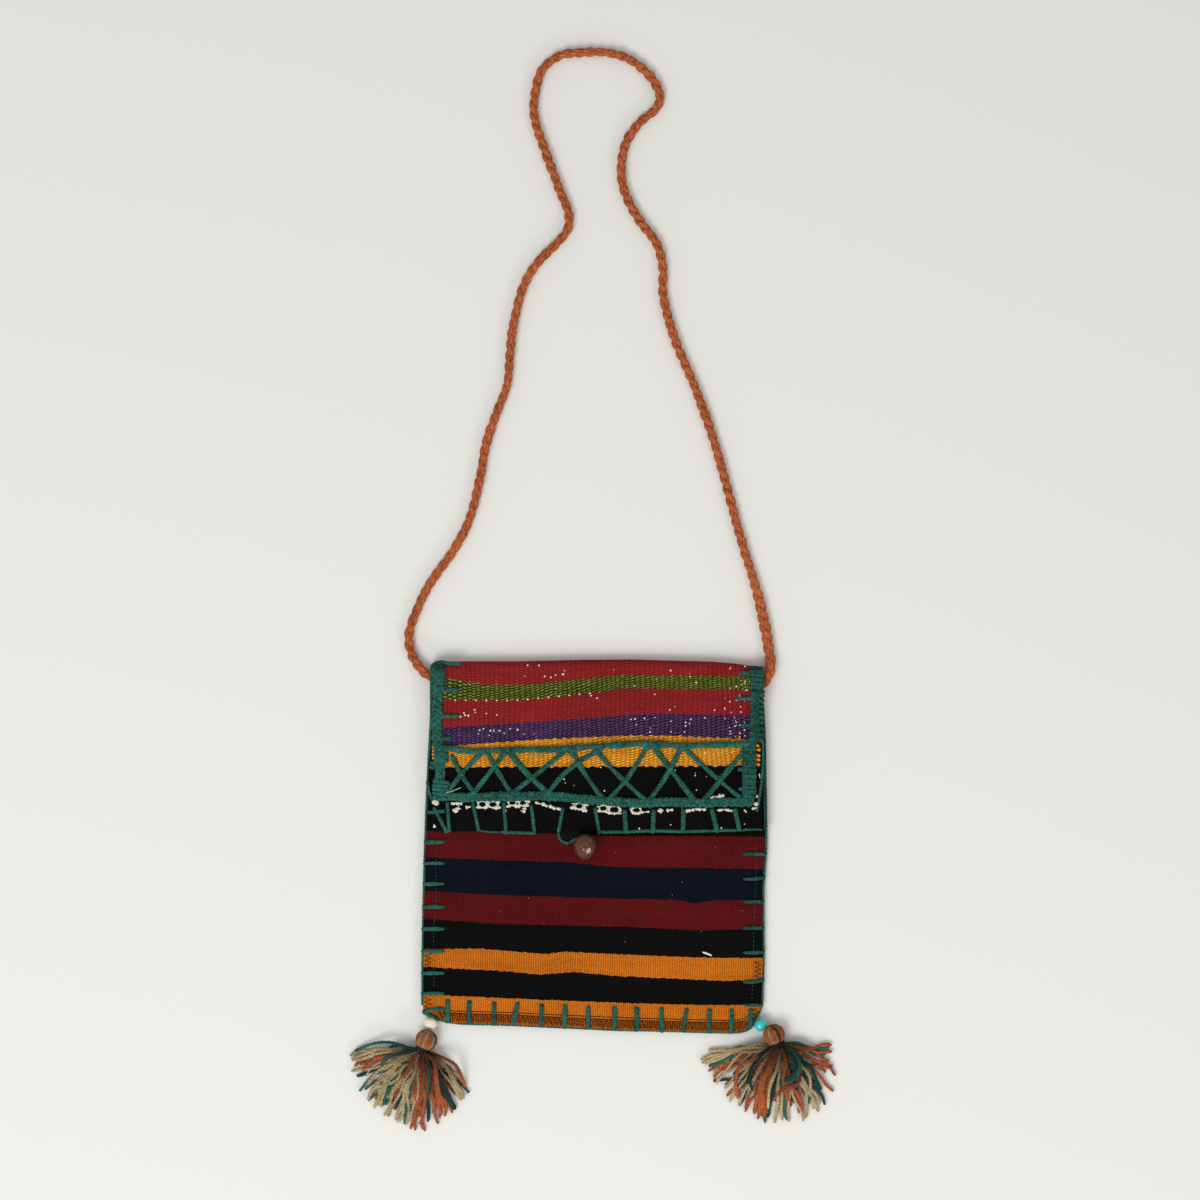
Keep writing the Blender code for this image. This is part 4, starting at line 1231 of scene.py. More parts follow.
# %% Flap's edge stitches
THIN_HEM_YARNS = [
    [(477, 828.5), (488, 830.6), (500, 831)], [(733, 829.2), (742, 829.4), (752, 828.6), (762, 829)],
]
HEM_STITCHES = [
    [(447.6, 800), (450, 829)], [(434, 806), (446.8, 830)], [(473, 800), (479, 828)],
    [(504, 800), (506.5, 831)], [(531.5, 803), (534.8, 831)], [(563.2, 806), (559, 829)],
    [(595, 806), (599, 830.5)], [(624.5, 808), (625.7, 830)], [(653.6, 808), (652.6, 829.5)],
    [(683, 807), (682.7, 829.5)], [(711, 807), (716.4, 829)], [(734, 807), (738.6, 828)],
]
HEM_YARN = [
    [(500, 831), (506, 831), (520, 831.5), (535, 832)],
    [(598, 831), (626, 830.6), (652, 829.6), (683, 830.2), (718, 829.4), (737, 829.2)],
]
INWARD_STITCHES = [
    [(433, 665), (440, 662.2), (450, 663.2), (461, 663.5)], [(438, 690), (461, 689.5)],
    [(438, 716), (460.5, 715.5)], [(439, 738), (452.5, 738)], [(440, 784), (451.5, 783.5)],
    [(430.5, 762.5), (437, 762.5), (445, 761.5)], [(430, 766.5), (437, 766.5), (445, 766)],
    [(428, 812), (446, 810)], [(762, 672.7), (738.5, 672.7)], [(760, 698.2), (736, 698.2)],
    [(760, 724.8), (739.5, 724.8)], [(752, 768.6), (737, 768.6)], [(753, 789), (738, 788)],
]
FLAP_EDGE_YARNS = [
    [(432.4, 664), (432.0, 690), (431.8, 715), (430.6, 738), (429.4, 756)],
    [(427.5, 780), (430, 792), (433.5, 801)],
    [(761.4, 688), (761.4, 705), (761.2, 722), (761.6, 738), (762.2, 754), (761.9, 770), (760.2, 788),
     (757.6, 803), (756, 812)],
    [(761.8, 702), (763, 720), (764, 740), (764.4, 770), (764.8, 800), (765, 830)],
]
EDGE_YARN = 0.00110
LEFT_HEM, RIGHT_HEM, HEM_CHANGE = 0.0012, 0.0016, 610  # the hem's stitches are thicker past a pixel
INWARD_YARN = 0.00135
HIDING_YARN = 0.0024
GOLD_LAID, GOLD_STITCH, GOLD_HALF = 0.0011, 0.0012, 2.1  # radii, and half a stitch's pixels
HIDING_YARNS = [[(434.2, 742), (434.2, 771)], [(758.6, 738), (758.6, 769)]]
GOLD_BEADS = [  # middle of each gold stitch that shows through there
    (434.2, 746.9), (434.4, 750.2), (434.2, 753.6), (434.5, 757.4),
    (757.2, 744.9), (758.4, 749.2), (758.0, 755.0), (757.9, 759.2), (757.6, 763.8),
]


def flap_edge_stitches():
    skein = Skein("flap_edge_stitches", [teal_wool, dark_wool, gold_wool, black_wool])
    for pixels in HEM_STITCHES:
        thick = LEFT_HEM if pixels[0][0] < HEM_CHANGE else RIGHT_HEM
        line = sewn(pixels, flap_top, thick, dive=(True, False))
        end = line[-1]
        line += [end + Vector((0, -0.0010, -0.0007)), end + Vector((0, -0.0014, -0.0020))]
        skein.yarn(line, thick, flat=0.7)
    for pixels in HEM_YARN:
        skein.yarn(sewn(pixels, flap_top, EDGE_YARN, lift=-0.2), EDGE_YARN)
    for pixels in THIN_HEM_YARNS:
        skein.yarn(sewn(pixels, flap_top, EDGE_YARN * 0.6, lift=0), EDGE_YARN * 0.6)
    for pixels in INWARD_STITCHES:
        skein.yarn(sewn(pixels, flap_top, INWARD_YARN, lift=1.0), INWARD_YARN, flat=0.75)
    for pixels in HIDING_YARNS:
        skein.yarn(sewn(pixels, flap_top, HIDING_YARN, lift=-0.10), HIDING_YARN, flat=0.4, slot=3)
    for px, py in GOLD_BEADS:
        pixels = [(px - GOLD_HALF, py - 0.3), (px, py), (px + GOLD_HALF, py + 0.3)]
        line = sewn(pixels, flap_top, GOLD_LAID, lift=1.5)
        skein.yarn(line, GOLD_STITCH * uniform(0.78, 1.02), flat=0.8, slot=2)
    for pixels, slot in zip(FLAP_EDGE_YARNS, (0, 0, 0, 1)):
        skein.yarn(sewn(pixels, flap_top, EDGE_YARN, lift=-0.3), EDGE_YARN, slot=slot)
    return skein.piece()


flap_edge_stitches()

# %% [markdown]
# Below the band a row of cream wool was woven in, in small rings round black dots. It has matted,
# and it is worn away in places. It could be drawn in the cloth's finish, but it stands a little
# proud. So each ring is one thin yarn, half sunk in the cloth, and thicker short yarns stand for
# the places where the wool has matted.

# %% Cream row
CREAM_YARN = 0.00062
CREAM_RINGS = [  # middle, half width and half height of each ring, in pixels
    (483, 804, 4.4, 3.3), (493.3, 804, 4.4, 3.2), (513, 802.2, 4.0, 2.9), (523.3, 802.4, 4.0, 2.9),
    (579.4, 805.7, 4.1, 3.1), (603.3, 807.8, 4.1, 3.2), (614.3, 809.2, 5.4, 3.8),
    (636, 809.6, 5.0, 2.9),
]
CREAM_LUMPS = [  # both ends of each thicker yarn, and its thickness
    ((451.5, 803), (463, 803.2), 1.9), ((456, 808.2), (461.5, 808.4), 1.6),
    ((459.3, 804.5), (459.3, 807.5), 0.7), ((466, 807), (471.5, 806.3), 1.6),
    ((467.5, 801), (470, 801.6), 1.0), ((463, 802), (466, 800.5), 0.8),
    ((476.5, 806.5), (480, 807.5), 1.8), ((493.5, 807.5), (501.5, 807), 2.0),
    ((485, 809), (488.5, 806), 1.0), ((477, 801.6), (482, 800.8), 1.2), ((486, 800.8), (491, 801), 1.2),
    ((495, 801), (501, 801.2), 1.6), ((488.3, 802), (488.3, 806), 1.3),
    ((498.8, 802), (498.6, 806), 1.3), ((506.5, 806.5), (511, 805), 1.8),
    ((514.5, 805.6), (521, 805.4), 2.4), ((523.8, 805.4), (529.5, 804.6), 1.9),
    ((507, 801), (510, 801.2), 1.3), ((515.5, 800.8), (520, 800.8), 1.2), ((526, 801), (531, 801), 1.4),
    ((522.5, 808), (527, 808.4), 1.4), ((524, 810), (526, 811), 0.8), ((570, 807.3), (576.5, 807), 2.4),
    ((571.7, 803), (576, 803), 0.9), ((574, 803.5), (574, 806), 0.8),
    ((581.5, 809.6), (587.5, 810.2), 2.0), ((584.6, 805), (585, 809), 1.2),
    ((582.5, 804), (589, 804.2), 1.4), ((596.8, 806), (599, 806), 1.8),
    ((597, 810.3), (601.5, 811), 1.8), ((608.4, 805.5), (608.4, 810), 1.3),
    ((605, 811), (613, 813), 1.6), ((613, 813), (621.5, 813), 1.5), ((607, 806), (610, 806), 1.3),
    ((620.3, 807), (620.5, 812), 1.2), ((629.7, 807.5), (632.5, 811.5), 1.3),
    ((631, 811.6), (636.5, 813.3), 1.5), ((758.6, 773.4), (759.5, 778), 0.6),
    ((758, 731), (758.8, 732.6), 0.7), ((758.8, 739.4), (759.6, 740.8), 0.6),
    ((636.3, 813.2), (641, 812.2), 1.6), ((641, 812), (649.5, 811), 1.4),
    ((640.6, 808.5), (641.3, 811.5), 1.1),
]
CREAM_DROP = 0.6  # pixels that the cream yarns appear lower, because they lie well above the floor
CREAM_BITS = [  # both ends of each short yarn
    [(535, 801), (541, 803)], [(541.5, 802), (548, 805.5)], [(549, 804.5), (556, 808)],
    [(556, 807), (561.5, 808.5)], [(451.5, 803), (456, 802.5)], [(657, 810), (663, 809)],
    [(666, 809.5), (673, 808.5)], [(685, 810), (694, 808.5)], [(694, 808), (706, 808.5)],
    [(716.5, 809.5), (724, 808.5)], [(724, 808.5), (732, 810)], [(709.5, 797), (717, 796.2)],
    [(716, 796.2), (724, 794.5)], [(709.5, 798.4), (714, 798)], [(749, 799), (753.5, 798.5)],
    [(753, 803), (758, 803.5)], [(751, 808), (756, 807)], [(754.5, 795), (757.5, 796)],
    [(503, 808), (507, 810)], [(521, 809.5), (526, 810.5)], [(453, 809), (459, 810.4)],
    [(434.5, 823.5), (435.5, 827)],
]
CREAM_KNOT = [(433.5, 800), (436.5, 801.5), (439.5, 803)]
RING_PARTS = 10  # points round a ring, which ends where it starts


def cream_yarn(skein, pixels, thick, lift=0.5):
    """A short cream yarn, which swells and thins from one pixel to the next."""
    line = sewn(pixels, flap_top, CREAM_YARN, lift=lift, dive=(False, False), step=0.0007)
    radii, seed = [], uniform(0, 50)
    for i in range(len(line)):
        radii.append(CREAM_YARN * thick * (1 + 0.9 * noise(Vector((seed, i * 0.45, 0)))))
    skein.yarn(line, radii, flat=0.7, sides=6, uneven=0.5)


def cream_row():
    random.seed(25)
    skein = Skein("cream_row", [cream_wool])
    for px, py, wide, high in CREAM_RINGS:
        ring = []
        for i in range(RING_PARTS + 1):
            angle = 2 * math.pi * i / RING_PARTS
            ring.append((px + wide * math.cos(angle), py - CREAM_DROP + high * math.sin(angle)))
        cream_yarn(skein, ring, 0.95)
    for first, last, thick in CREAM_LUMPS:
        pixels = [(px, py - CREAM_DROP) for px, py in (first, last)]
        cream_yarn(skein, pixels, thick)
    for pixels in CREAM_BITS:
        cream_yarn(skein, pixels, uniform(1.3, 1.9))
    skein.yarn(sewn(CREAM_KNOT, flap_top, CREAM_YARN * 3, lift=0.5), CREAM_YARN * 3.4, flat=0.6)
    return skein.piece(slot="flap_kilim")


cream_row()

# %% [markdown]
# The pouch is whip-stitched down both sides and along the bottom, and a thin edge yarn holds the
# stitches' loops where they turn round the seam. The stitches could end at the outline, but seen
# from the side they would hang in the air, so each one turns round the seam. The side stitches are
# pulled thin at both ends, where they sink into the cloth.

# %% Pouch's edge stitches
LEFT_STITCHES = [841.5, 862.5, 883.1, 906, 928, 950.1, 972.2, 992.5]
RIGHT_STITCHES = [  # heights of each stitch's outer and inner end
    (853.9, 853.2), (876.7, 878.2), (901.4, 901), (927.4, 927.2), (951.4, 951.8), (979.4, 981),
    (1004.4, 1004.2),
]
BOTTOM_STITCHES = [
    (447.6, 447.8), (469.9, 469.9), (494.3, 494.5), (514.2, 518.5), (541, 541.8), (564.6, 565),
    (588.6, 588.6), (614, 614.5), (636.6, 636.6), (661.6, 661.2), (682.7, 686.8), (709.3, 709.3),
    (731, 731), (750, 750.5),
]
CORNER_STITCHES = [
    [(423, 1010), (432, 1016), (440, 1020)], [(425, 1010.5), (435, 1008.5), (445, 1008)],
]
BOTTOM_EDGE = [
    (422.5, 1010.5), (426, 1013.3), (440, 1018.8), (446, 1020.6), (460, 1022.6), (480, 1023.3),
    (500, 1023.8), (540, 1025.4), (580, 1027.3), (620, 1029.2), (660, 1029.8), (700, 1031.1),
    (731, 1031.6), (744, 1030.2), (751, 1026.2), (753.5, 1020.5), (758.5, 1012), (761.5, 1003),
]


SideStitch = namedtuple("SideStitch", "laid radius flat slot")  # how high it lies, and its yarn
LEFT_SIDE = SideStitch(laid=0.00120, radius=0.00145, flat=0.7, slot=0)
# the right side stitches wear the teal with painted shade (slot 1)
RIGHT_SIDE = SideStitch(laid=0.00112, radius=0.00130, flat=0.65, slot=1)
SIDE_HAIRS = 0.0011
BOTTOM_YARN, BOTTOM_HAIRS, CORNER_YARN = 0.00156, 0.0015, 0.0012
EDGE_SHARE = 0.62  # the edge yarn's height, as a share of the seam's


print("stitches round the pouch:", len(LEFT_STITCHES + RIGHT_STITCHES + BOTTOM_STITCHES))

# %% [markdown]
# The stitches start at the pouch's edge. It could be typed in pixels, but then a change of the
# outline would leave them behind. So the edge is worked out in metres and turned into pixels. Then
# each stitch is sewn, turned round the seam and given a few loose hairs.


# %% Sewing the pouch's edge
def bottom_y(px):
    """The pouch's lower end, as a pixel's height in the picture."""
    return POUCH_PIXEL[1] - end_y(BOTTOM, across_at(place(px, 0).x, -0.12)) / PIXEL


def side_height(x, y):
    """Height of the edge yarn, which is the same at every place."""
    return SEAM_TOP * EDGE_SHARE


def edge_pixel(side, py):
    """The pouch's side edge at a height in the picture, as a pixel."""
    return side_x(pouch_share(side, place(0, py).y), side) / PIXEL + POUCH_PIXEL[0]


def spindle(line, radius):
    """Radii of a stitch that is pulled thin where it sinks into the cloth at its two ends."""
    shares = [i / (len(line) - 1) for i in range(len(line))]
    return [radius * (0.5 + 0.5 * math.sin(math.pi * share) ** 0.7) for share in shares]


def pouch_edge_stitches():
    side_skein = Skein("side_stitches", [teal_wool, shaded_wool])
    rows = [
        ([(edge_pixel(0, py) + 1, py + 0.5), (434, py), (445.5, py)], -1, LEFT_SIDE)
        for py in LEFT_STITCHES
    ]
    rows += [
        ([(edge_pixel(1, outer) - 1, outer), (754, inner), (742, inner)], 1, RIGHT_SIDE)
        for outer, inner in RIGHT_STITCHES
    ]
    for pixels, side, kind in rows:
        line = wrap(sewn(pixels, front_top, kind.laid, dive=(False, True)), side)
        thick = spindle(line, kind.radius)
        side_skein.yarn(line, thick, flat=kind.flat, uneven=0.4, slot=kind.slot)
        side_skein.hairs(line, SIDE_HAIRS, slot=kind.slot)
    side_skein.piece()
    bottom_skein = Skein("bottom_stitches", [seam_wool, teal_wool])
    for low_px, high_px in BOTTOM_STITCHES:
        low = bottom_y(low_px) - 0.8
        high = (POUCH_PIXEL[1] - line_at(FRONT_EDGES[1], place(high_px, 0).x) / PIXEL) + 1.0
        bend = ((low_px + high_px) / 2 + uniform(-0.8, 0.8), (low + high) / 2)
        pixels = [(low_px, low), bend, (high_px, high)]
        line = sewn(pixels, front_top, BOTTOM_YARN, dive=(False, True))
        start = line[0]
        turn = [start + Vector((0, -0.0008, -0.0036)), start + Vector((0, -0.0009, -0.0016))]
        thick = BOTTOM_YARN * uniform(0.9, 1.1)
        bottom_skein.yarn(turn + line, thick, flat=0.65, slot=choice((0, 0, 1)), uneven=0.4)
        bottom_skein.hairs(line, BOTTOM_HAIRS)
    for pixels in CORNER_STITCHES:
        bottom_skein.yarn(sewn(pixels, front_top, CORNER_YARN, lift=0.9), CORNER_YARN, slot=1)
    bottom_skein.piece()
    edge_skein = Skein("edge_yarn", [teal_wool])
    routes = []
    for side, inwards in ((0, 1.0), (1, -1.0)):
        routes.append([(edge_pixel(side, py) + inwards, py) for py in range(753, 1012, 12)])
    for pixels in routes + [BOTTOM_EDGE]:
        line = sewn(pixels, side_height, EDGE_YARN, lift=0, dive=(False, False))
        edge_skein.yarn(line, EDGE_YARN)
    edge_skein.piece()


random.seed(23)
pouch_edge_stitches()

# %% [markdown]
# The pouch's raw edges are overlocked with dark brown thread. It shows only where it crosses the
# amber bands, as a dense zigzag below two straight rows. A dark pattern in the cloth's finish could
# stand for it, but thin threads on the cloth keep their sharp edges close up and cost little.

# %% Overlock thread
OVERLOCK = 0.00036  # half the thread's width
OVERLOCK_PITCH, SIDE_PITCH = 5.2, 4.4  # pixels from one peak to the next
AMBER_STRETCHES = [(0, 997, 1009), (0, 951, 966), (1, 960, 980), (1, 1007, 1017)]  # side, top, end


def zigzag_thread(skein, pixels):
    """One thread with sharp corners, laid on the front."""
    line = [place(*pixel) for pixel in pixels]
    line = [Vector((p.x, p.y, front_top(p.x, p.y) + OVERLOCK * 0.6)) for p in line]
    skein.yarn(line, OVERLOCK, sides=5, lobes=0)


def overlock():
    skein = Skein("overlock_thread", [brown_thread])
    for shift in (0.0, 0.42):
        points, px = [], 436.0 + shift * OVERLOCK_PITCH
        while px < 755:
            low = bottom_y(px)
            for part, up in ((0.0, 1.5), (0.5, 9.0)):
                wobble = 1.1 * noise(Vector((px * 0.7, up, 3)))
                points.append((px + part * OVERLOCK_PITCH + wobble, low - up - wobble))
            px += OVERLOCK_PITCH
        zigzag_thread(skein, points)
    for rise in (9.6, 12.0):
        pixels = [(px, bottom_y(px) - rise) for px in range(438, 756, 8)]
        line = sewn(pixels, front_top, OVERLOCK * 0.7, lift=0.5)
        skein.yarn(line, OVERLOCK * 0.7, sides=5, lobes=0)
    for side, low_py, high_py in AMBER_STRETCHES:
        points, py = [], low_py
        while py < high_py:
            inward = 1 - 2 * side
            edge = edge_pixel(side, py) + inward * 1.5
            points += [(edge + inward * 1.0, py), (edge + inward * 8.0, py + 2.2)]
            py += SIDE_PITCH
        zigzag_thread(skein, points)
    return skein.piece(slot="front_kilim")


overlock()

# %% [markdown]
# A machine seam joins the front to the back inside each side edge. Its pale thread shows as a
# faint broken line. A short end of lint and a loose thread have caught on the wool. All are so thin
# that a dotted line in the finish would do, but as threads they ride on the cloth like the rest.

# %% Machine seams and lint
SEAM_THREAD = 0.00016
DASH, DASH_PITCH = 5, 7  # points of the seam's line in one stitch, and from one to the next
CAUGHT_THREAD, CAUGHT_LIFT = 0.00018, 17  # its radius, and how many of them it lies over the cloth
LINT_LAID, LINT_RADIUS = 0.0006, 0.0007
SEAMS = [
    [(437, 842), (436, 870), (436.5, 900), (434, 930), (434.5, 960), (434, 990)],
    [(755, 842), (755.5, 870), (754.5, 900), (753.5, 930), (753, 960), (751.5, 1000)],
]
LOOSE_THREAD = [(434, 797.5), (439, 794), (446, 792), (452, 790.5), (457, 788.5), (462, 786.5)]
LINT = [(702, 951), (706, 952), (711.5, 954.3)]


def machine_seams():
    skein = Skein("machine_seams", [pale_thread, cotton])
    for pixels in SEAMS:
        line = sewn(pixels, front_top, SEAM_THREAD, lift=0.5, step=0.0004)
        for i in range(0, len(line) - DASH, DASH_PITCH):
            skein.yarn(line[i : i + DASH], SEAM_THREAD, sides=5, lobes=0)
    line = sewn(LOOSE_THREAD, flap_top, CAUGHT_THREAD, lift=CAUGHT_LIFT, dive=(False, False))
    skein.yarn(line, CAUGHT_THREAD, sides=5, lobes=0, slot=1)
    line = sewn(LINT, front_top, LINT_LAID, lift=1.0, dive=(False, False))
    skein.yarn(line, LINT_RADIUS, sides=6, lobes=0.1, slot=1)
    return skein.piece(slot="front_kilim")


machine_seams()

# %% [markdown]
# Where the wefts have worn or were beaten thinly, the white cotton warps show as specks. They lie
# thickest at the flap's right end and in one row under the moss band. A noise in the finish would
# spread them evenly, so small balls are strewn by patches instead and joined to one piece.

# %% Warp specks
SPECK_PATCHES = [  # left, right, high and low edge of a patch in pixels, and the number of specks
    (724, 749, 664, 675, 5), (724, 749, 679, 690, 10), (724, 749, 692, 712, 12),
    (724, 749, 717, 737, 22), (524, 572, 664, 677, 6), (455, 480, 708, 717, 4),
    (474, 540, 727, 735, 9), (620, 705, 716, 733, 16), (600, 700, 668, 688, 7),
    (640, 720, 763, 790, 6), (740, 760, 768, 812, 12), (560, 660, 765, 800, 5),
    (600, 745, 822, 829, 5), (540, 740, 741, 762, 8), (640, 720, 692, 712, 4),
]
ROW_LINE = [(456, 699.8), (515, 700), (598, 692)]
SPECK_ROW = [(px, between(ROW_LINE, px)) for px in (456 + 10.3 * i for i in range(14))]
ROW_SIZES, PATCH_SIZES, FRONT_SIZE = (0.00062, 0.00085), (0.00030, 0.00078), 0.00022
FRONT_SPECKS = 12
SPECK_PITCH = 5.0  # pixels from one rib's furrow to the next
SPECK_PLACES = [
    (464.6, 712.4), (469, 715), (487, 713), (497.5, 714.3), (461, 716), (591, 695), (597, 697.6),
    (545, 676), (551, 677), (563, 674), (528, 665), (484, 728), (491, 730), (500, 730), (518, 729),
]


def warp_specks():
    random.seed(31)
    spots = [(px, py, uniform(*ROW_SIZES)) for px, py in SPECK_ROW + SPECK_PLACES]
    for left, right, high, low, count in SPECK_PATCHES:
        for _ in range(count):
            px = SPECK_PITCH * round(uniform(left, right) / SPECK_PITCH)
            px += uniform(-1.1, 1.1)
            spots.append((px, uniform(high, low), uniform(*PATCH_SIZES)))
    for _ in range(FRONT_SPECKS):
        spots.append((uniform(430, 760), uniform(840, 1000), FRONT_SIZE))
    deselect()
    made = []
    for px, py, size in spots:
        spot = place(px, py)
        spot.z = bag_top(spot.x, spot.y) + size * 0.1
        bpy.ops.mesh.primitive_ico_sphere_add(subdivisions=1, radius=size, location=spot)
        made.append(bpy.context.object)
    deselect()
    for speck in made:
        speck.select_set(True)
    bpy.context.view_layer.objects.active = made[0]
    bpy.ops.object.join()
    bpy.ops.object.transform_apply(location=True, rotation=True, scale=True)
    piece = bpy.context.object
    piece.name = piece.data.name = "warp_specks"
    piece.data.materials.append(cotton)
    bpy.ops.object.shade_smooth()
    finish_piece(piece)
    return piece


warp_specks()

# %% [markdown]
# The ball is a carved nut, widest near its top, with a few furrows cut across it, one worn flat and
# three small nicks. It could be sculpted or cut with booleans. A UV sphere whose points are moved by a
# rule is easier to change. The points sink where a furrow's plane passes, and the depth is kept as an
# attribute, so that the finish can paint shade into the furrows and the pit. The flat and the nicks are
# cut square to one direction, FACET, in which they mirror the second lamp.

# %% Ball
Furrow = namedtuple("Furrow", "across middle width first last")
FURROWS = [  # direction across it, distance from the ball's middle, half width, and its two ends
    Furrow(Vector((-0.40, 0.92, 0.0)), 0.10, 0.045, -0.62, 0.66),
    Furrow(Vector((0.99, -0.10, 0.0)), 0.62, 0.040, -0.7, 0.55),
    Furrow(Vector((-0.10, 0.99, 0.0)), -0.74, 0.050, -0.10, 0.40),
    Furrow(Vector((0.2, 0.1, 0.97)), 0.0, 0.050, -2.0, 2.0),
]
# the pit is darkened with painted shade by the nut's finish
PIT = Vector((0.38, -0.62, 0.68))  # a dark hole at the ball's lower end
EGG = 0.30  # how much wider the ball is at its top than at its foot
FURROW_DEPTH = 0.060
PIT_WIDTH = 0.11
BALL_SIZE = Vector((0.0156, 0.0176, 0.0160))
FACET = (GLINT_FROM.normalized() + Vector((0, 0, 1))).normalized()  # a worn flat, lower right
FACET_REACH, FACET_PRESS = 0.00740, 0.90  # from the ball's middle, and how flat it is
NICKS = [Vector((-0.50, -0.05, 0.86)), Vector((-0.22, 0.76, 0.61)), Vector((0.02, -0.66, 0.75))]
NICK = 0.0007  # half a nick's width


def furrow_depth(unit):
    """How deep the carving is at a place on the ball, from 0 to 1."""
    depth = 0.0
    for furrow in FURROWS:
        across = furrow.across.normalized()
        off = (unit.dot(across) - furrow.middle) / furrow.width
        along = unit.dot(Vector((across.y, -across.x, 0)))
        inside = furrow.first < along < furrow.last
        depth = max(depth, math.exp(-off * off) * inside)
    pit = (unit - PIT.normalized()).length / PIT_WIDTH
    return max(depth, 1.6 * math.exp(-pit * pit))


def sphere(name, segments, rings):
    """A UV sphere of radius 1, to be drawn to another shape."""
    deselect()
    bpy.ops.mesh.primitive_uv_sphere_add(segments=segments, ring_count=rings, radius=1)
    made = bpy.context.object
    made.name = made.data.name = name
    return made


def node_middle(node):
    low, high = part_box(node)
    return (Vector(low) + Vector(high)) / 2


def on_ball(unit, size):
    """Where a direction meets the ball, before its flats are cut."""
    rough = 0.030 * noise(unit * 1.8) + 0.008 * noise(unit * 9)
    reach = 1 - FURROW_DEPTH * furrow_depth(unit) + rough
    girth = 1 + EGG * unit.y * 0.5 - 0.06 * unit.y**2
    return Vector((unit.x * girth * size.x, unit.y * size.y, unit.z * girth * size.z)) * reach


def ball():
    made = sphere("carved_ball", 96, 64)
    middle, size = node_middle("button_ball"), BALL_SIZE / 2
    depths = []
    for vert in made.data.vertices:
        unit = vert.co.normalized()
        depth = furrow_depth(unit)
        depths.append(depth)
        spot = on_ball(unit, size)
        proud = spot.dot(FACET) - FACET_REACH
        if proud > 0:
            spot -= FACET * proud * FACET_PRESS
        for nick in NICKS:
            cut = on_ball(nick.normalized(), size)
            share = 1 - smooth_step((spot - cut).length / NICK - 0.6)
            spot -= FACET * (spot - cut).dot(FACET) * share
        vert.co = middle + spot
    field = made.data.attributes.new("furrow", "FLOAT", "POINT")
    field.data.foreach_set("value", depths)
    outwards(made)
    bpy.ops.object.shade_smooth()
    made.data.materials.append(carved_nut)
    finish_piece(made, ["button_ball"])
    return made


ball()

# %% [markdown]
# The loop is the hem's own yarn, drawn out and hooked round the thread under the ball. Inside it
# the flap's black yarns have come unwoven and hang over the edge. The hem's stitches could simply
# run on as the loop, but it is a piece of its own, because it is what opens and closes the bag.
# The wound thread under the ball is the CAD's own solid, which only needs its finish.

# %% Loop
LOOP_RADIUS = 0.00095
LOOP_PIXELS = [
    (558.5, 829), (559.5, 836), (563, 840.5), (567.5, 842), (573, 839.5), (579, 836.5), (586, 838),
    (590, 842),
]
BLACK_YARN = 0.0014
BLACK_YARNS = [  # unwoven black yarns that hang out of the flap's edge inside the loop
    [(561, 829), (563, 834), (566, 838.5)], [(564.5, 829), (566.5, 835), (569.5, 839.5)],
    [(568, 829), (570.5, 834), (573, 838)], [(572, 829), (574, 833), (577, 836.5)],
    [(576, 829), (578, 832), (581, 835)],
]


def ball_loop():
    skein = Skein("ball_loop", [teal_wool, black_wool])
    line = sewn(LOOP_PIXELS, front_top, LOOP_RADIUS, lift=1.2, dive=(False, False))
    skein.yarn(line, LOOP_RADIUS)
    for pixels in BLACK_YARNS:
        line = sewn(pixels, front_top, BLACK_YARN, lift=0.1, dive=(False, False))
        skein.yarn(line, BLACK_YARN, flat=0.6, slot=1, uneven=0.4)
    return skein.piece(replaces=["button_loop"])


def finish_node(node, material):
    """Gives a CAD node that stays in sight its own finish."""
    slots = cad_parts[node].data.materials
    slots.clear()
    slots.append(material)


ball_loop()
finish_node("button_shank", dark_wool)
print("shank finish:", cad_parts["button_shank"].data.materials[0].name)

# %% [markdown]
# A bead hangs on its thread at each lower corner, between the pouch and the tassel: a lumpy one of
# cream bone and a glossy turquoise one. A torus would be too round at its bore, and a boolean is
# heavy for so little. So a sphere's poles are cut off and the two rims bridged, which leaves the
# bore for the thread. Both beads point to their tassel's head.

# %% Beads
HEADS = {"left": place(427.0, 1038.8, 0.0073), "right": place(773.5, 1033.7, 0.0073)}
NECKS = {"left": place(423.0, 1049.0, 0.0066), "right": place(778.3, 1044.6, 0.0066)}
POLE_CUT = 0.962  # height on a sphere of radius 1 above which the pole's faces go


def bead(name, node, size, finish, slot, roughness=0.0):
    """Size is the bead's width and its length along the thread."""
    middle = node_middle(node)
    side = "left" if "left" in node else "right"
    run = HEADS[side] - middle
    made = sphere(name, 40, 26)
    bpy.ops.object.mode_set(mode="EDIT")
    bpy.ops.mesh.select_all(action="DESELECT")
    shape = bmesh.from_edit_mesh(made.data)
    for face in shape.faces:
        face.select = abs(face.calc_center_median().z) > POLE_CUT
    bmesh.update_edit_mesh(made.data)
    bpy.ops.mesh.delete(type="FACE")
    shape = bmesh.from_edit_mesh(made.data)
    for edge in shape.edges:
        edge.select = edge.is_boundary
    bmesh.update_edit_mesh(made.data)
    bpy.ops.mesh.bridge_edge_loops()
    bpy.ops.object.mode_set(mode="OBJECT")
    turn = run.to_track_quat("Z", "Y")
    for vert in made.data.vertices:
        lump = 1 + roughness * noise(vert.co * 2.2)
        x, y, z = vert.co
        scaled = Vector((x * size[0] / 2, y * size[0] / 2, z * size[1] / 2))
        vert.co = middle + turn @ (scaled * lump)
    outwards(made)
    bpy.ops.object.shade_smooth()
    made.data.materials.append(finish)
    finish_piece(made, [node])
    return made


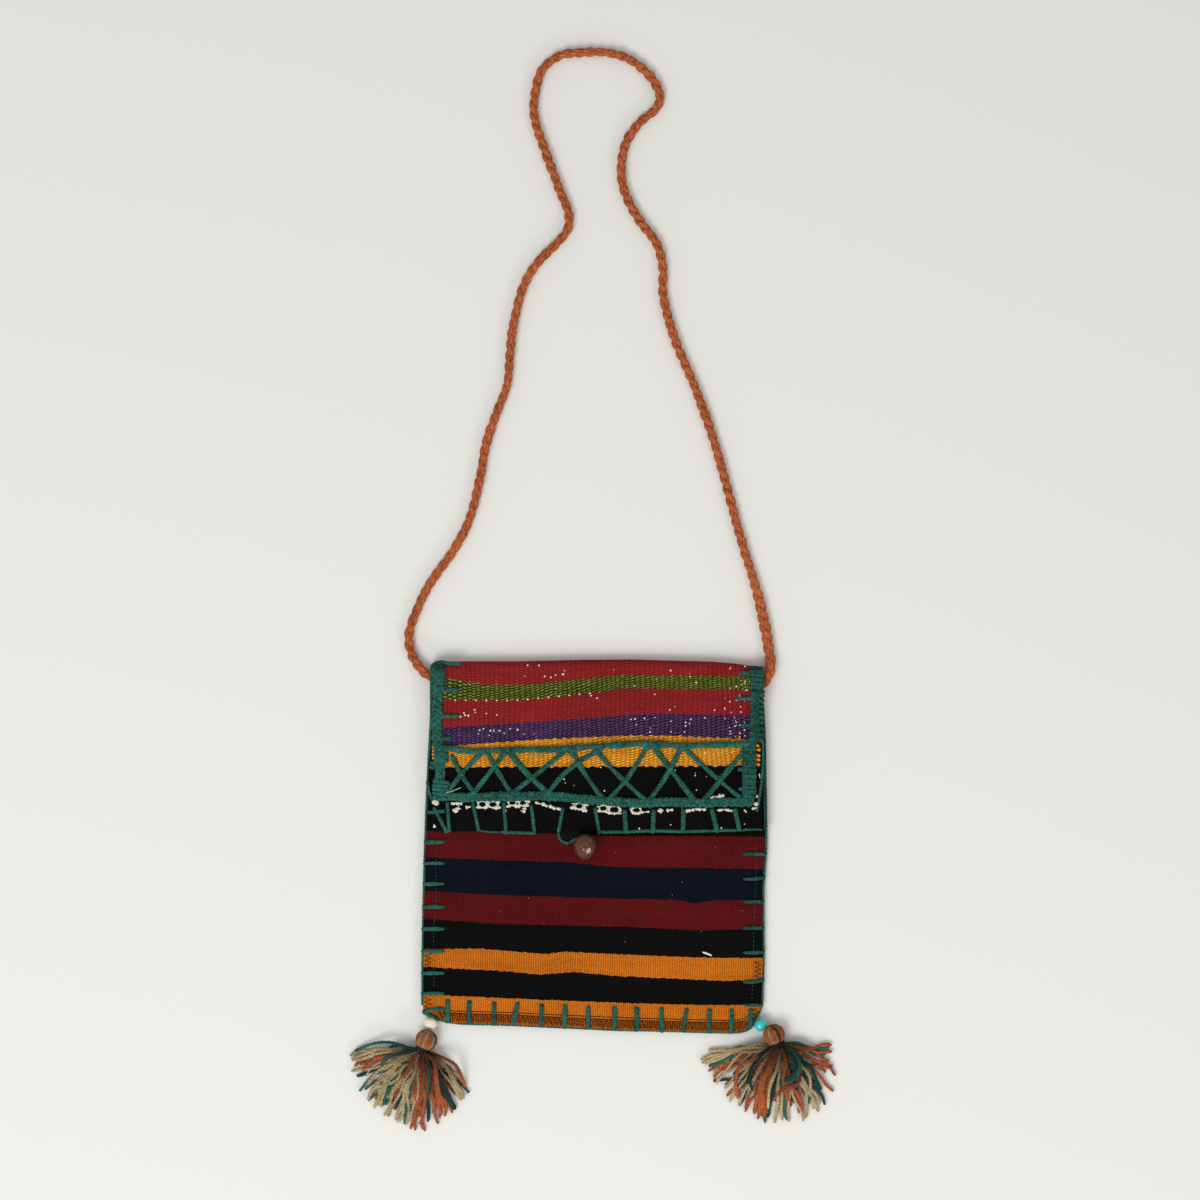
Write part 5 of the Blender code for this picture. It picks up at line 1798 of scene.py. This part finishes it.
CREAM_SIZE, TURQUOISE_SIZE = (0.0097, 0.0080), (0.0096, 0.0088)
bead("cream_bead", "tassel_left_bead", CREAM_SIZE, cream_bone, "white_bead", roughness=0.10)
bead("turquoise_bead", "tassel_right_bead", TURQUOISE_SIZE, turquoise_glass, "turquoise_bead")

# %% [markdown]
# A tassel is a hank of yarn. It is folded over its thread, wound to a ball at the fold and tied
# under it, and its cut ends fan out over the table. The ball could be wound from single yarns, but
# most of them would lie hidden. So it is a sphere with grooves from the bead to the tie, and each
# wrap between two grooves has its own colour.

# %% Tassel heads
HEAD_WRAPS, PER_WRAP = 20, 5  # wraps round a head, and the sphere's segments in each
HEAD_SIZE = Vector((0.0076, 0.0076, 0.0074))
GROOVE = 0.11
WRAP_RUN = 0.009  # length on the thread map from a head's middle to its pole


def head_of(side, colours):
    """A ball whose wraps run from pole to pole, each with its own colour."""
    made = sphere(f"{side}_tassel_head", HEAD_WRAPS * PER_WRAP, 28)
    turn = (HEADS[side] - NECKS[side]).to_track_quat("Z", "Y")
    mesh = made.data
    for polygon in mesh.polygons:
        middle = polygon.center
        angle = (math.atan2(middle.y, middle.x) / (2 * math.pi)) % 1.0
        polygon.material_index = colours[int(angle * HEAD_WRAPS) % HEAD_WRAPS]
    layer = mesh.uv_layers.new(name="thread")
    for loop in mesh.loops:
        co = mesh.vertices[loop.vertex_index].co
        angle = (math.atan2(co.y, co.x) / (2 * math.pi)) % 1.0
        layer.data[loop.index].uv = (angle * HEAD_WRAPS * 0.5, (1 - co.z) * WRAP_RUN)
    for vert in mesh.vertices:
        angle = math.atan2(vert.co.y, vert.co.x) / (2 * math.pi) * HEAD_WRAPS
        wrap = abs(math.sin(math.pi * angle)) ** 0.6
        flat = math.sqrt(max(0.0, 1 - vert.co.z**2))
        uneven = 0.05 * noise(vert.co * 3 + Vector((0, 0, len(side))))
        lump = 1 - GROOVE * (1 - wrap) * flat + uneven
        x, y, z = vert.co
        scaled = Vector((x * HEAD_SIZE.x, y * HEAD_SIZE.y, z * HEAD_SIZE.z)) * lump
        vert.co = HEADS[side] + turn @ scaled
    bpy.ops.object.shade_smooth()
    for material in head_wools:
        mesh.materials.append(material)
    finish_piece(made)
    return made


# dark green: the tie's yarn, and strands that are partly dark yarn and partly painted shade between the
# strands
RUST, BEIGE, GREEN, DARK_AND_SHADE = range(4)  # places in the tassels' lists of finishes
head_of("left", [0, 0, 1, 0, 1, 0, 0, 1, 2, 0, 1, 0, 0, 1, 0, 1, 2, 2, 0, 0])
head_of("right", [0, 0, 0, 1, 0, 0, 3, 0, 0, 0, 2, 1, 0, 0, 0, 3, 0, 1, 0, 0])

# %% [markdown]
# The cut strands fan out over the table, and their ends are frayed. They could be combed from a hair
# system, but the strands that show can then not be placed. So each row below is one strand, or a few
# beside each other, by the pixel of its cut end. Bow bends it sideways, and level says how high in the
# heap it lies. Curls are strands that lie over the fan, by their own pixels. Under them all, random
# strands fill the fan with the colours that show between; their dark green is partly dark yarn and
# partly painted shade between the strands.

# %% Tassel strands
Strand = namedtuple("Strand", "colour tip bow count level")  # a row of the first two tables
STRAND = 0.00108  # half a strand's width
STRAND_CURL, FILL_CURL = 0.0050, 0.0085  # how far a strand's kinks swing
LEFT_STRANDS = [
    (BEIGE, (354, 1061), 4.5, 3, 3), (RUST, (360.5, 1070.5), 4.0, 1, 3),
    (BEIGE, (366, 1076), 4.5, 3, 2), (BEIGE, (369, 1084), 4.0, 2, 3), (RUST, (370, 1087), 3.0, 1, 2),
    (DARK_AND_SHADE, (386, 1086), 4.0, 2, 3), (BEIGE, (376, 1092), 4.0, 3, 3), (GREEN, (372, 1098), 2.0, 1, 2),
    (GREEN, (380, 1103), 1.0, 1, 2), (GREEN, (385.5, 1104.5), 1.0, 1, 2),
    (RUST, (376.6, 1101), 2.0, 1, 1), (BEIGE, (378, 1107), 3.0, 2, 2), (BEIGE, (385, 1112), 3.0, 2, 3),
    (BEIGE, (395.5, 1121), 2.0, 2, 3), (BEIGE, (408.8, 1122), -1.5, 2, 3),
    (RUST, (396, 1095), 3.0, 2, 4), (RUST, (401, 1088), 2.0, 2, 4), (GREEN, (403.5, 1116), 1.0, 2, 2),
    (RUST, (416.8, 1128), 0.0, 2, 2), (RUST, (425.7, 1129), -1.0, 2, 3),
    (RUST, (434.6, 1112), -2.0, 2, 3), (RUST, (442.7, 1114), -3.0, 3, 3),
    (RUST, (451.6, 1111), -3.5, 2, 3), (RUST, (411, 1106), 1.0, 3, 3), (RUST, (420, 1112), 0.0, 3, 3),
    (BEIGE, (459, 1101), -5.0, 2, 3), (BEIGE, (465, 1097), -5.5, 2, 3), (BEIGE, (404, 1082), 3.5, 1, 5),
]
RIGHT_STRANDS = [
    (BEIGE, (708.5, 1050), 3.5, 2, 3), (BEIGE, (705, 1061), 4.0, 3, 3),
    (GREEN, (709.3, 1067), 4.0, 1, 1), (GREEN, (720, 1063.5), 4.0, 2, 2),
    (RUST, (715, 1075.5), 4.0, 1, 2), (BEIGE, (718, 1083.5), 5.0, 2, 2),
    (BEIGE, (724.7, 1091), 5.0, 1, 3), (BEIGE, (728, 1100.5), 5.0, 2, 2),
    (RUST, (747, 1091), 4.0, 1, 2), (BEIGE, (742.8, 1106.5), 3.0, 1, 2),
    (RUST, (754.3, 1112.5), 3.0, 3, 3), (RUST, (760, 1112.5), 3.0, 3, 3),
    (GREEN, (764, 1121), 2.0, 1, 2), (DARK_AND_SHADE, (768, 1117), 1.0, 2, 2),
    (BEIGE, (774.4, 1120.5), 0.5, 2, 3), (BEIGE, (783, 1117), -1.0, 1, 3),
    (GREEN, (783.5, 1116), -1.0, 2, 3), (BEIGE, (791.6, 1119), -2.0, 1, 3),
    (BEIGE, (799.3, 1119.5), -2.0, 1, 3), (RUST, (803, 1111), -3.0, 1, 4),
    (BEIGE, (806, 1114), -3.0, 1, 3), (BEIGE, (812.7, 1109.5), -3.0, 2, 3),
    (GREEN, (811.7, 1100), -4.0, 2, 4), (BEIGE, (818, 1103), -4.0, 1, 3),
    (BEIGE, (810.8, 1094), -5.0, 1, 5), (DARK_AND_SHADE, (822, 1091.5), -4.5, 2, 4),
    (RUST, (829, 1047), 0.5, 2, 3), (GREEN, (828.5, 1052), -2.0, 2, 3),
    (RUST, (829, 1055.5), -2.5, 2, 4), (RUST, (829, 1063.5), -3.5, 1, 4),
    (RUST, (824.5, 1071), -4.0, 1, 3), (RUST, (790, 1100), -3.0, 2, 3), (DARK_AND_SHADE, (796, 1098), -3.0, 3, 3),
    (DARK_AND_SHADE, (786, 1104), -2.0, 2, 3),
]
Curl = namedtuple("Curl", "colour pixels count height")  # a row of the next two
LEFT_CURLS = [
    (GREEN, [(417, 1049), (409, 1046.3), (391, 1041.8), (373.5, 1044), (357, 1051)], 1, 0.007),
    (GREEN, [(429, 1054), (431, 1069), (429, 1085), (427, 1100)], 1, 0.014),
    (RUST, [(425, 1051), (434.5, 1059), (436.6, 1075), (438.6, 1092), (444.5, 1105)], 2, 0.013),
    (RUST, [(430, 1051), (446.5, 1057), (456.4, 1063), (462.3, 1075), (466, 1086)], 1, 0.011),
    (DARK_AND_SHADE, [(429, 1052), (436, 1069), (443, 1085), (454, 1107)], 3, 0.010),
    (GREEN, [(414, 1049), (396, 1053), (386, 1059), (378.5, 1069)], 2, 0.011),
]
RIGHT_CURLS = [
    (GREEN, [
        (784, 1046), (792, 1051), (797.5, 1061), (793.6, 1073), (784, 1079.5), (773.5, 1087),
    ], 2, 0.015),
    (DARK_AND_SHADE, [
        (783, 1047), (790, 1052), (795, 1062), (791, 1073), (782, 1080), (773, 1086),
    ], 2, 0.015),
    (GREEN, [
        (785, 1045), (794, 1050), (799.5, 1061), (796, 1074.5), (785, 1082), (775, 1088),
    ], 1, 0.014),
    (DARK_AND_SHADE, [(773, 1045), (762, 1052), (752.5, 1065), (749, 1077), (741, 1087)], 2, 0.009),
    (DARK_AND_SHADE, [(764, 1051), (753, 1064), (749.5, 1077), (752.5, 1089)], 1, 0.010),
    (RUST, [(797, 1066), (799.5, 1073), (795.6, 1083), (782, 1089), (775, 1098)], 2, 0.012),
    (BEIGE, [(780, 1048), (776, 1065), (769, 1085), (767.5, 1107)], 2, 0.012),
    (RUST, [(776, 1046), (768, 1065), (760, 1085), (755, 1110)], 3, 0.009),
    (RUST, [(778, 1046), (773, 1062), (763, 1080), (760, 1111)], 3, 0.010),
    (RUST, [(774, 1046), (757, 1056), (741, 1065), (736.5, 1080), (739, 1097)], 3, 0.009),
    (RUST, [(781, 1045), (785, 1060), (783, 1078), (788, 1100)], 4, 0.009),
]
LEFT_FILL = [  # first and last bearing in degrees, how many, and the colours to draw from
    (184, 236, 14, [1, 1, 1, 2, 0, 3]), (236, 262, 10, [1, 1, 0, 3, 0]),
    (262, 300, 14, [0, 0, 0, 3, 0, 2]), (300, 322, 6, [3, 1, 3, 0]),
]
RIGHT_FILL = [
    (192, 228, 8, [1, 1, 2, 0, 3]), (228, 262, 11, [0, 0, 3, 0, 0]),
    (262, 300, 9, [3, 0, 0, 2, 3, 0]), (300, 330, 5, [3, 3, 0, 2]),
]
print("strands that are placed:", sum(row[3] for row in LEFT_STRANDS + RIGHT_STRANDS))

# %% [markdown]
# A strand leaves the tie, rises a little over its neighbours, and falls to the table with the kinks
# that wool keeps. Its plies part at the cut end. A spring simulation would do it too, but not twice
# in the same way.

# %% Laying a strand
FILL_REACH = (0.036, 0.052)
FILL_LEVEL = 1.8  # the highest level of a filler
TURNED = math.radians(265)  # bearing at which the fillers' bow changes sides
SPLAY = 0.0034  # how far strands spread at the tie
NECK_HEIGHT, CURL_NECK = 0.0058, 0.0062
TIE_YARN, TIE_WIDE, TIE_HIGH = 0.0009, 0.0043, 0.0040
TIE_START, TIE_PITCH, TIE_PARTS = 0.0008, 0.0011, 24
STEP = 0.0013  # from one ring of a strand to the next
WHOLE = {"taper": 0.85, "uneven": 0.3}  # a strand keeps its thickness to its cut end


def strand_line(neck, tip, bow, level, curl):
    """From the tie, up a little, out and down to the table, with the kinks that wool keeps."""
    run = tip - neck
    run.z = 0
    side = Vector((run.y, -run.x, 0)).normalized()
    spread = side * uniform(-SPLAY, SPLAY)
    high = 0.0046 + 0.00125 * level
    rest = STRAND * (1.1 + 0.55 * level * uniform(0.4, 1.0))
    seed, points = uniform(0, 90), []
    for i in range(9):
        share = i / 8
        bend = bow * PIXEL * 4 * share * (1 - share)
        drift = spread * min(1.0, share * 3) * (1 - 0.4 * share)
        kink = curl * min(1.0, share * 2.5) * noise(Vector((share * 2.6 + seed, seed, 0)))
        reach = share + 0.05 * noise(Vector((seed, share * 2, 5)))
        spot = neck + run * reach + side * (bend + kink) + drift
        fall = smooth_step((share - 0.22) / 0.78)
        height = mix(NECK_HEIGHT, high, smooth_step(share * 3)) * (1 - fall) + rest * fall
        height += 0.0011 * level * noise(Vector((seed, 2, share * 3))) * (1 - share)
        points.append(Vector((spot.x, spot.y, max(height, STRAND * 0.9))))
    return smooth(points, STEP)


def curls(skein, rows):
    """Strands that lie over the fan, each by its own pixels, from the tie down to the table."""
    for row in (Curl(*row) for row in rows):
        for _ in range(row.count):
            shift_x, shift_y = uniform(-1.6, 1.6), uniform(-1.6, 1.6)
            points = []
            for i, (px, py) in enumerate(row.pixels):
                share = i / (len(row.pixels) - 1)
                height = mix(CURL_NECK, row.height, smooth_step(share * 3))
                height *= 1 - smooth_step(share * 1.6 - 0.6)
                height += uniform(0.0018, 0.0030)
                points.append(place(px + shift_x * share**0.5, py + shift_y * share**0.5, height))
            line = smooth(points, STEP)
            skein.yarn(line, STRAND * uniform(0.92, 1.1), slot=row.colour, **WHOLE)
            frayed(skein, line, row.colour)


def tie(skein, side):
    """Three turns of dark yarn round the neck."""
    run = (NECKS[side] - HEADS[side]).normalized()
    around = run.to_track_quat("Z", "Y")
    for k in range(3):
        middle = NECKS[side] - run * (TIE_START + TIE_PITCH * k)
        ring = []
        for i in range(TIE_PARTS + 1):
            angle = 2 * math.pi * i / TIE_PARTS
            x, y = math.cos(angle) * TIE_WIDE, math.sin(angle) * TIE_HIGH
            ring.append(middle + around @ Vector((x, y, 0.0)))
        skein.yarn(ring, TIE_YARN, slot=DARK_AND_SHADE, taper=1.0)


def frayed(skein, line, slot):
    """A strand's cut end: its plies part and run on a little way."""
    out = (line[-1] - line[-3]).normalized()
    side = Vector((-out.y, out.x, 0))
    for _ in range(3):
        tip = line[-1] + out * uniform(0.0002, 0.0013)
        tip += side * uniform(-0.0010, 0.0010)
        tip.z = max(STRAND * 0.5, tip.z + uniform(-0.0004, 0.0004))
        ply = [line[-3], line[-1].lerp(tip, 0.3), tip]
        skein.yarn(ply, STRAND * 0.66, sides=5, slot=slot, taper=0.85, start=0.05)


print("a strand's width, mm:", round(2000 * STRAND, 1))

# %% [markdown]
# Each fan is filled from below: first the random strands, then the ones that show, the curls and
# the tie. The threads of both tassels are the CAD's own solids and only get their finish.


# %% Filling the fans
def strands(side, rows, fills, loose):
    """One tassel's fan: fillers first, then the strands that show, the curls and the tie."""
    random.seed(41 if side == "left" else 47)
    skein = Skein(f"{side}_tassel_strands", loose_wools)
    neck = NECKS[side]
    for low, high, count, colours in fills:
        for i in range(count):
            bearing = math.radians(mix(low, high, (i + random.random()) / count))
            reach = uniform(*FILL_REACH)
            tip = neck + Vector((math.cos(bearing), math.sin(bearing), 0)) * reach
            bow = uniform(1, 4) * (1 if bearing < TURNED else -1)
            line = strand_line(neck, tip, bow, uniform(0, FILL_LEVEL), FILL_CURL)
            slot = choice(colours)
            skein.yarn(line, STRAND * uniform(0.85, 1.08), slot=slot, taper=0.8, uneven=0.3)
            frayed(skein, line, slot)
    for row in (Strand(*row) for row in rows):
        for _ in range(row.count):
            px, py = row.tip
            tip = place(px + uniform(-2.4, 2.4), py + uniform(-2.4, 2.4))
            bow = row.bow + uniform(-2, 2)
            line = strand_line(neck, tip, bow, row.level * 0.8, STRAND_CURL)
            skein.yarn(line, STRAND * uniform(0.88, 1.12), slot=row.colour, **WHOLE)
            frayed(skein, line, row.colour)
    curls(skein, loose)
    tie(skein, side)
    return skein.piece(slot="beige_wool", replaces=[f"tassel_{side}"])


strands("left", LEFT_STRANDS, LEFT_FILL, LEFT_CURLS)
strands("right", RIGHT_STRANDS, RIGHT_FILL, RIGHT_CURLS)
for side in ("left", "right"):
    finish_node(f"tassel_{side}_thread", dark_wool)

# %% [markdown]
# The bag is dressed.
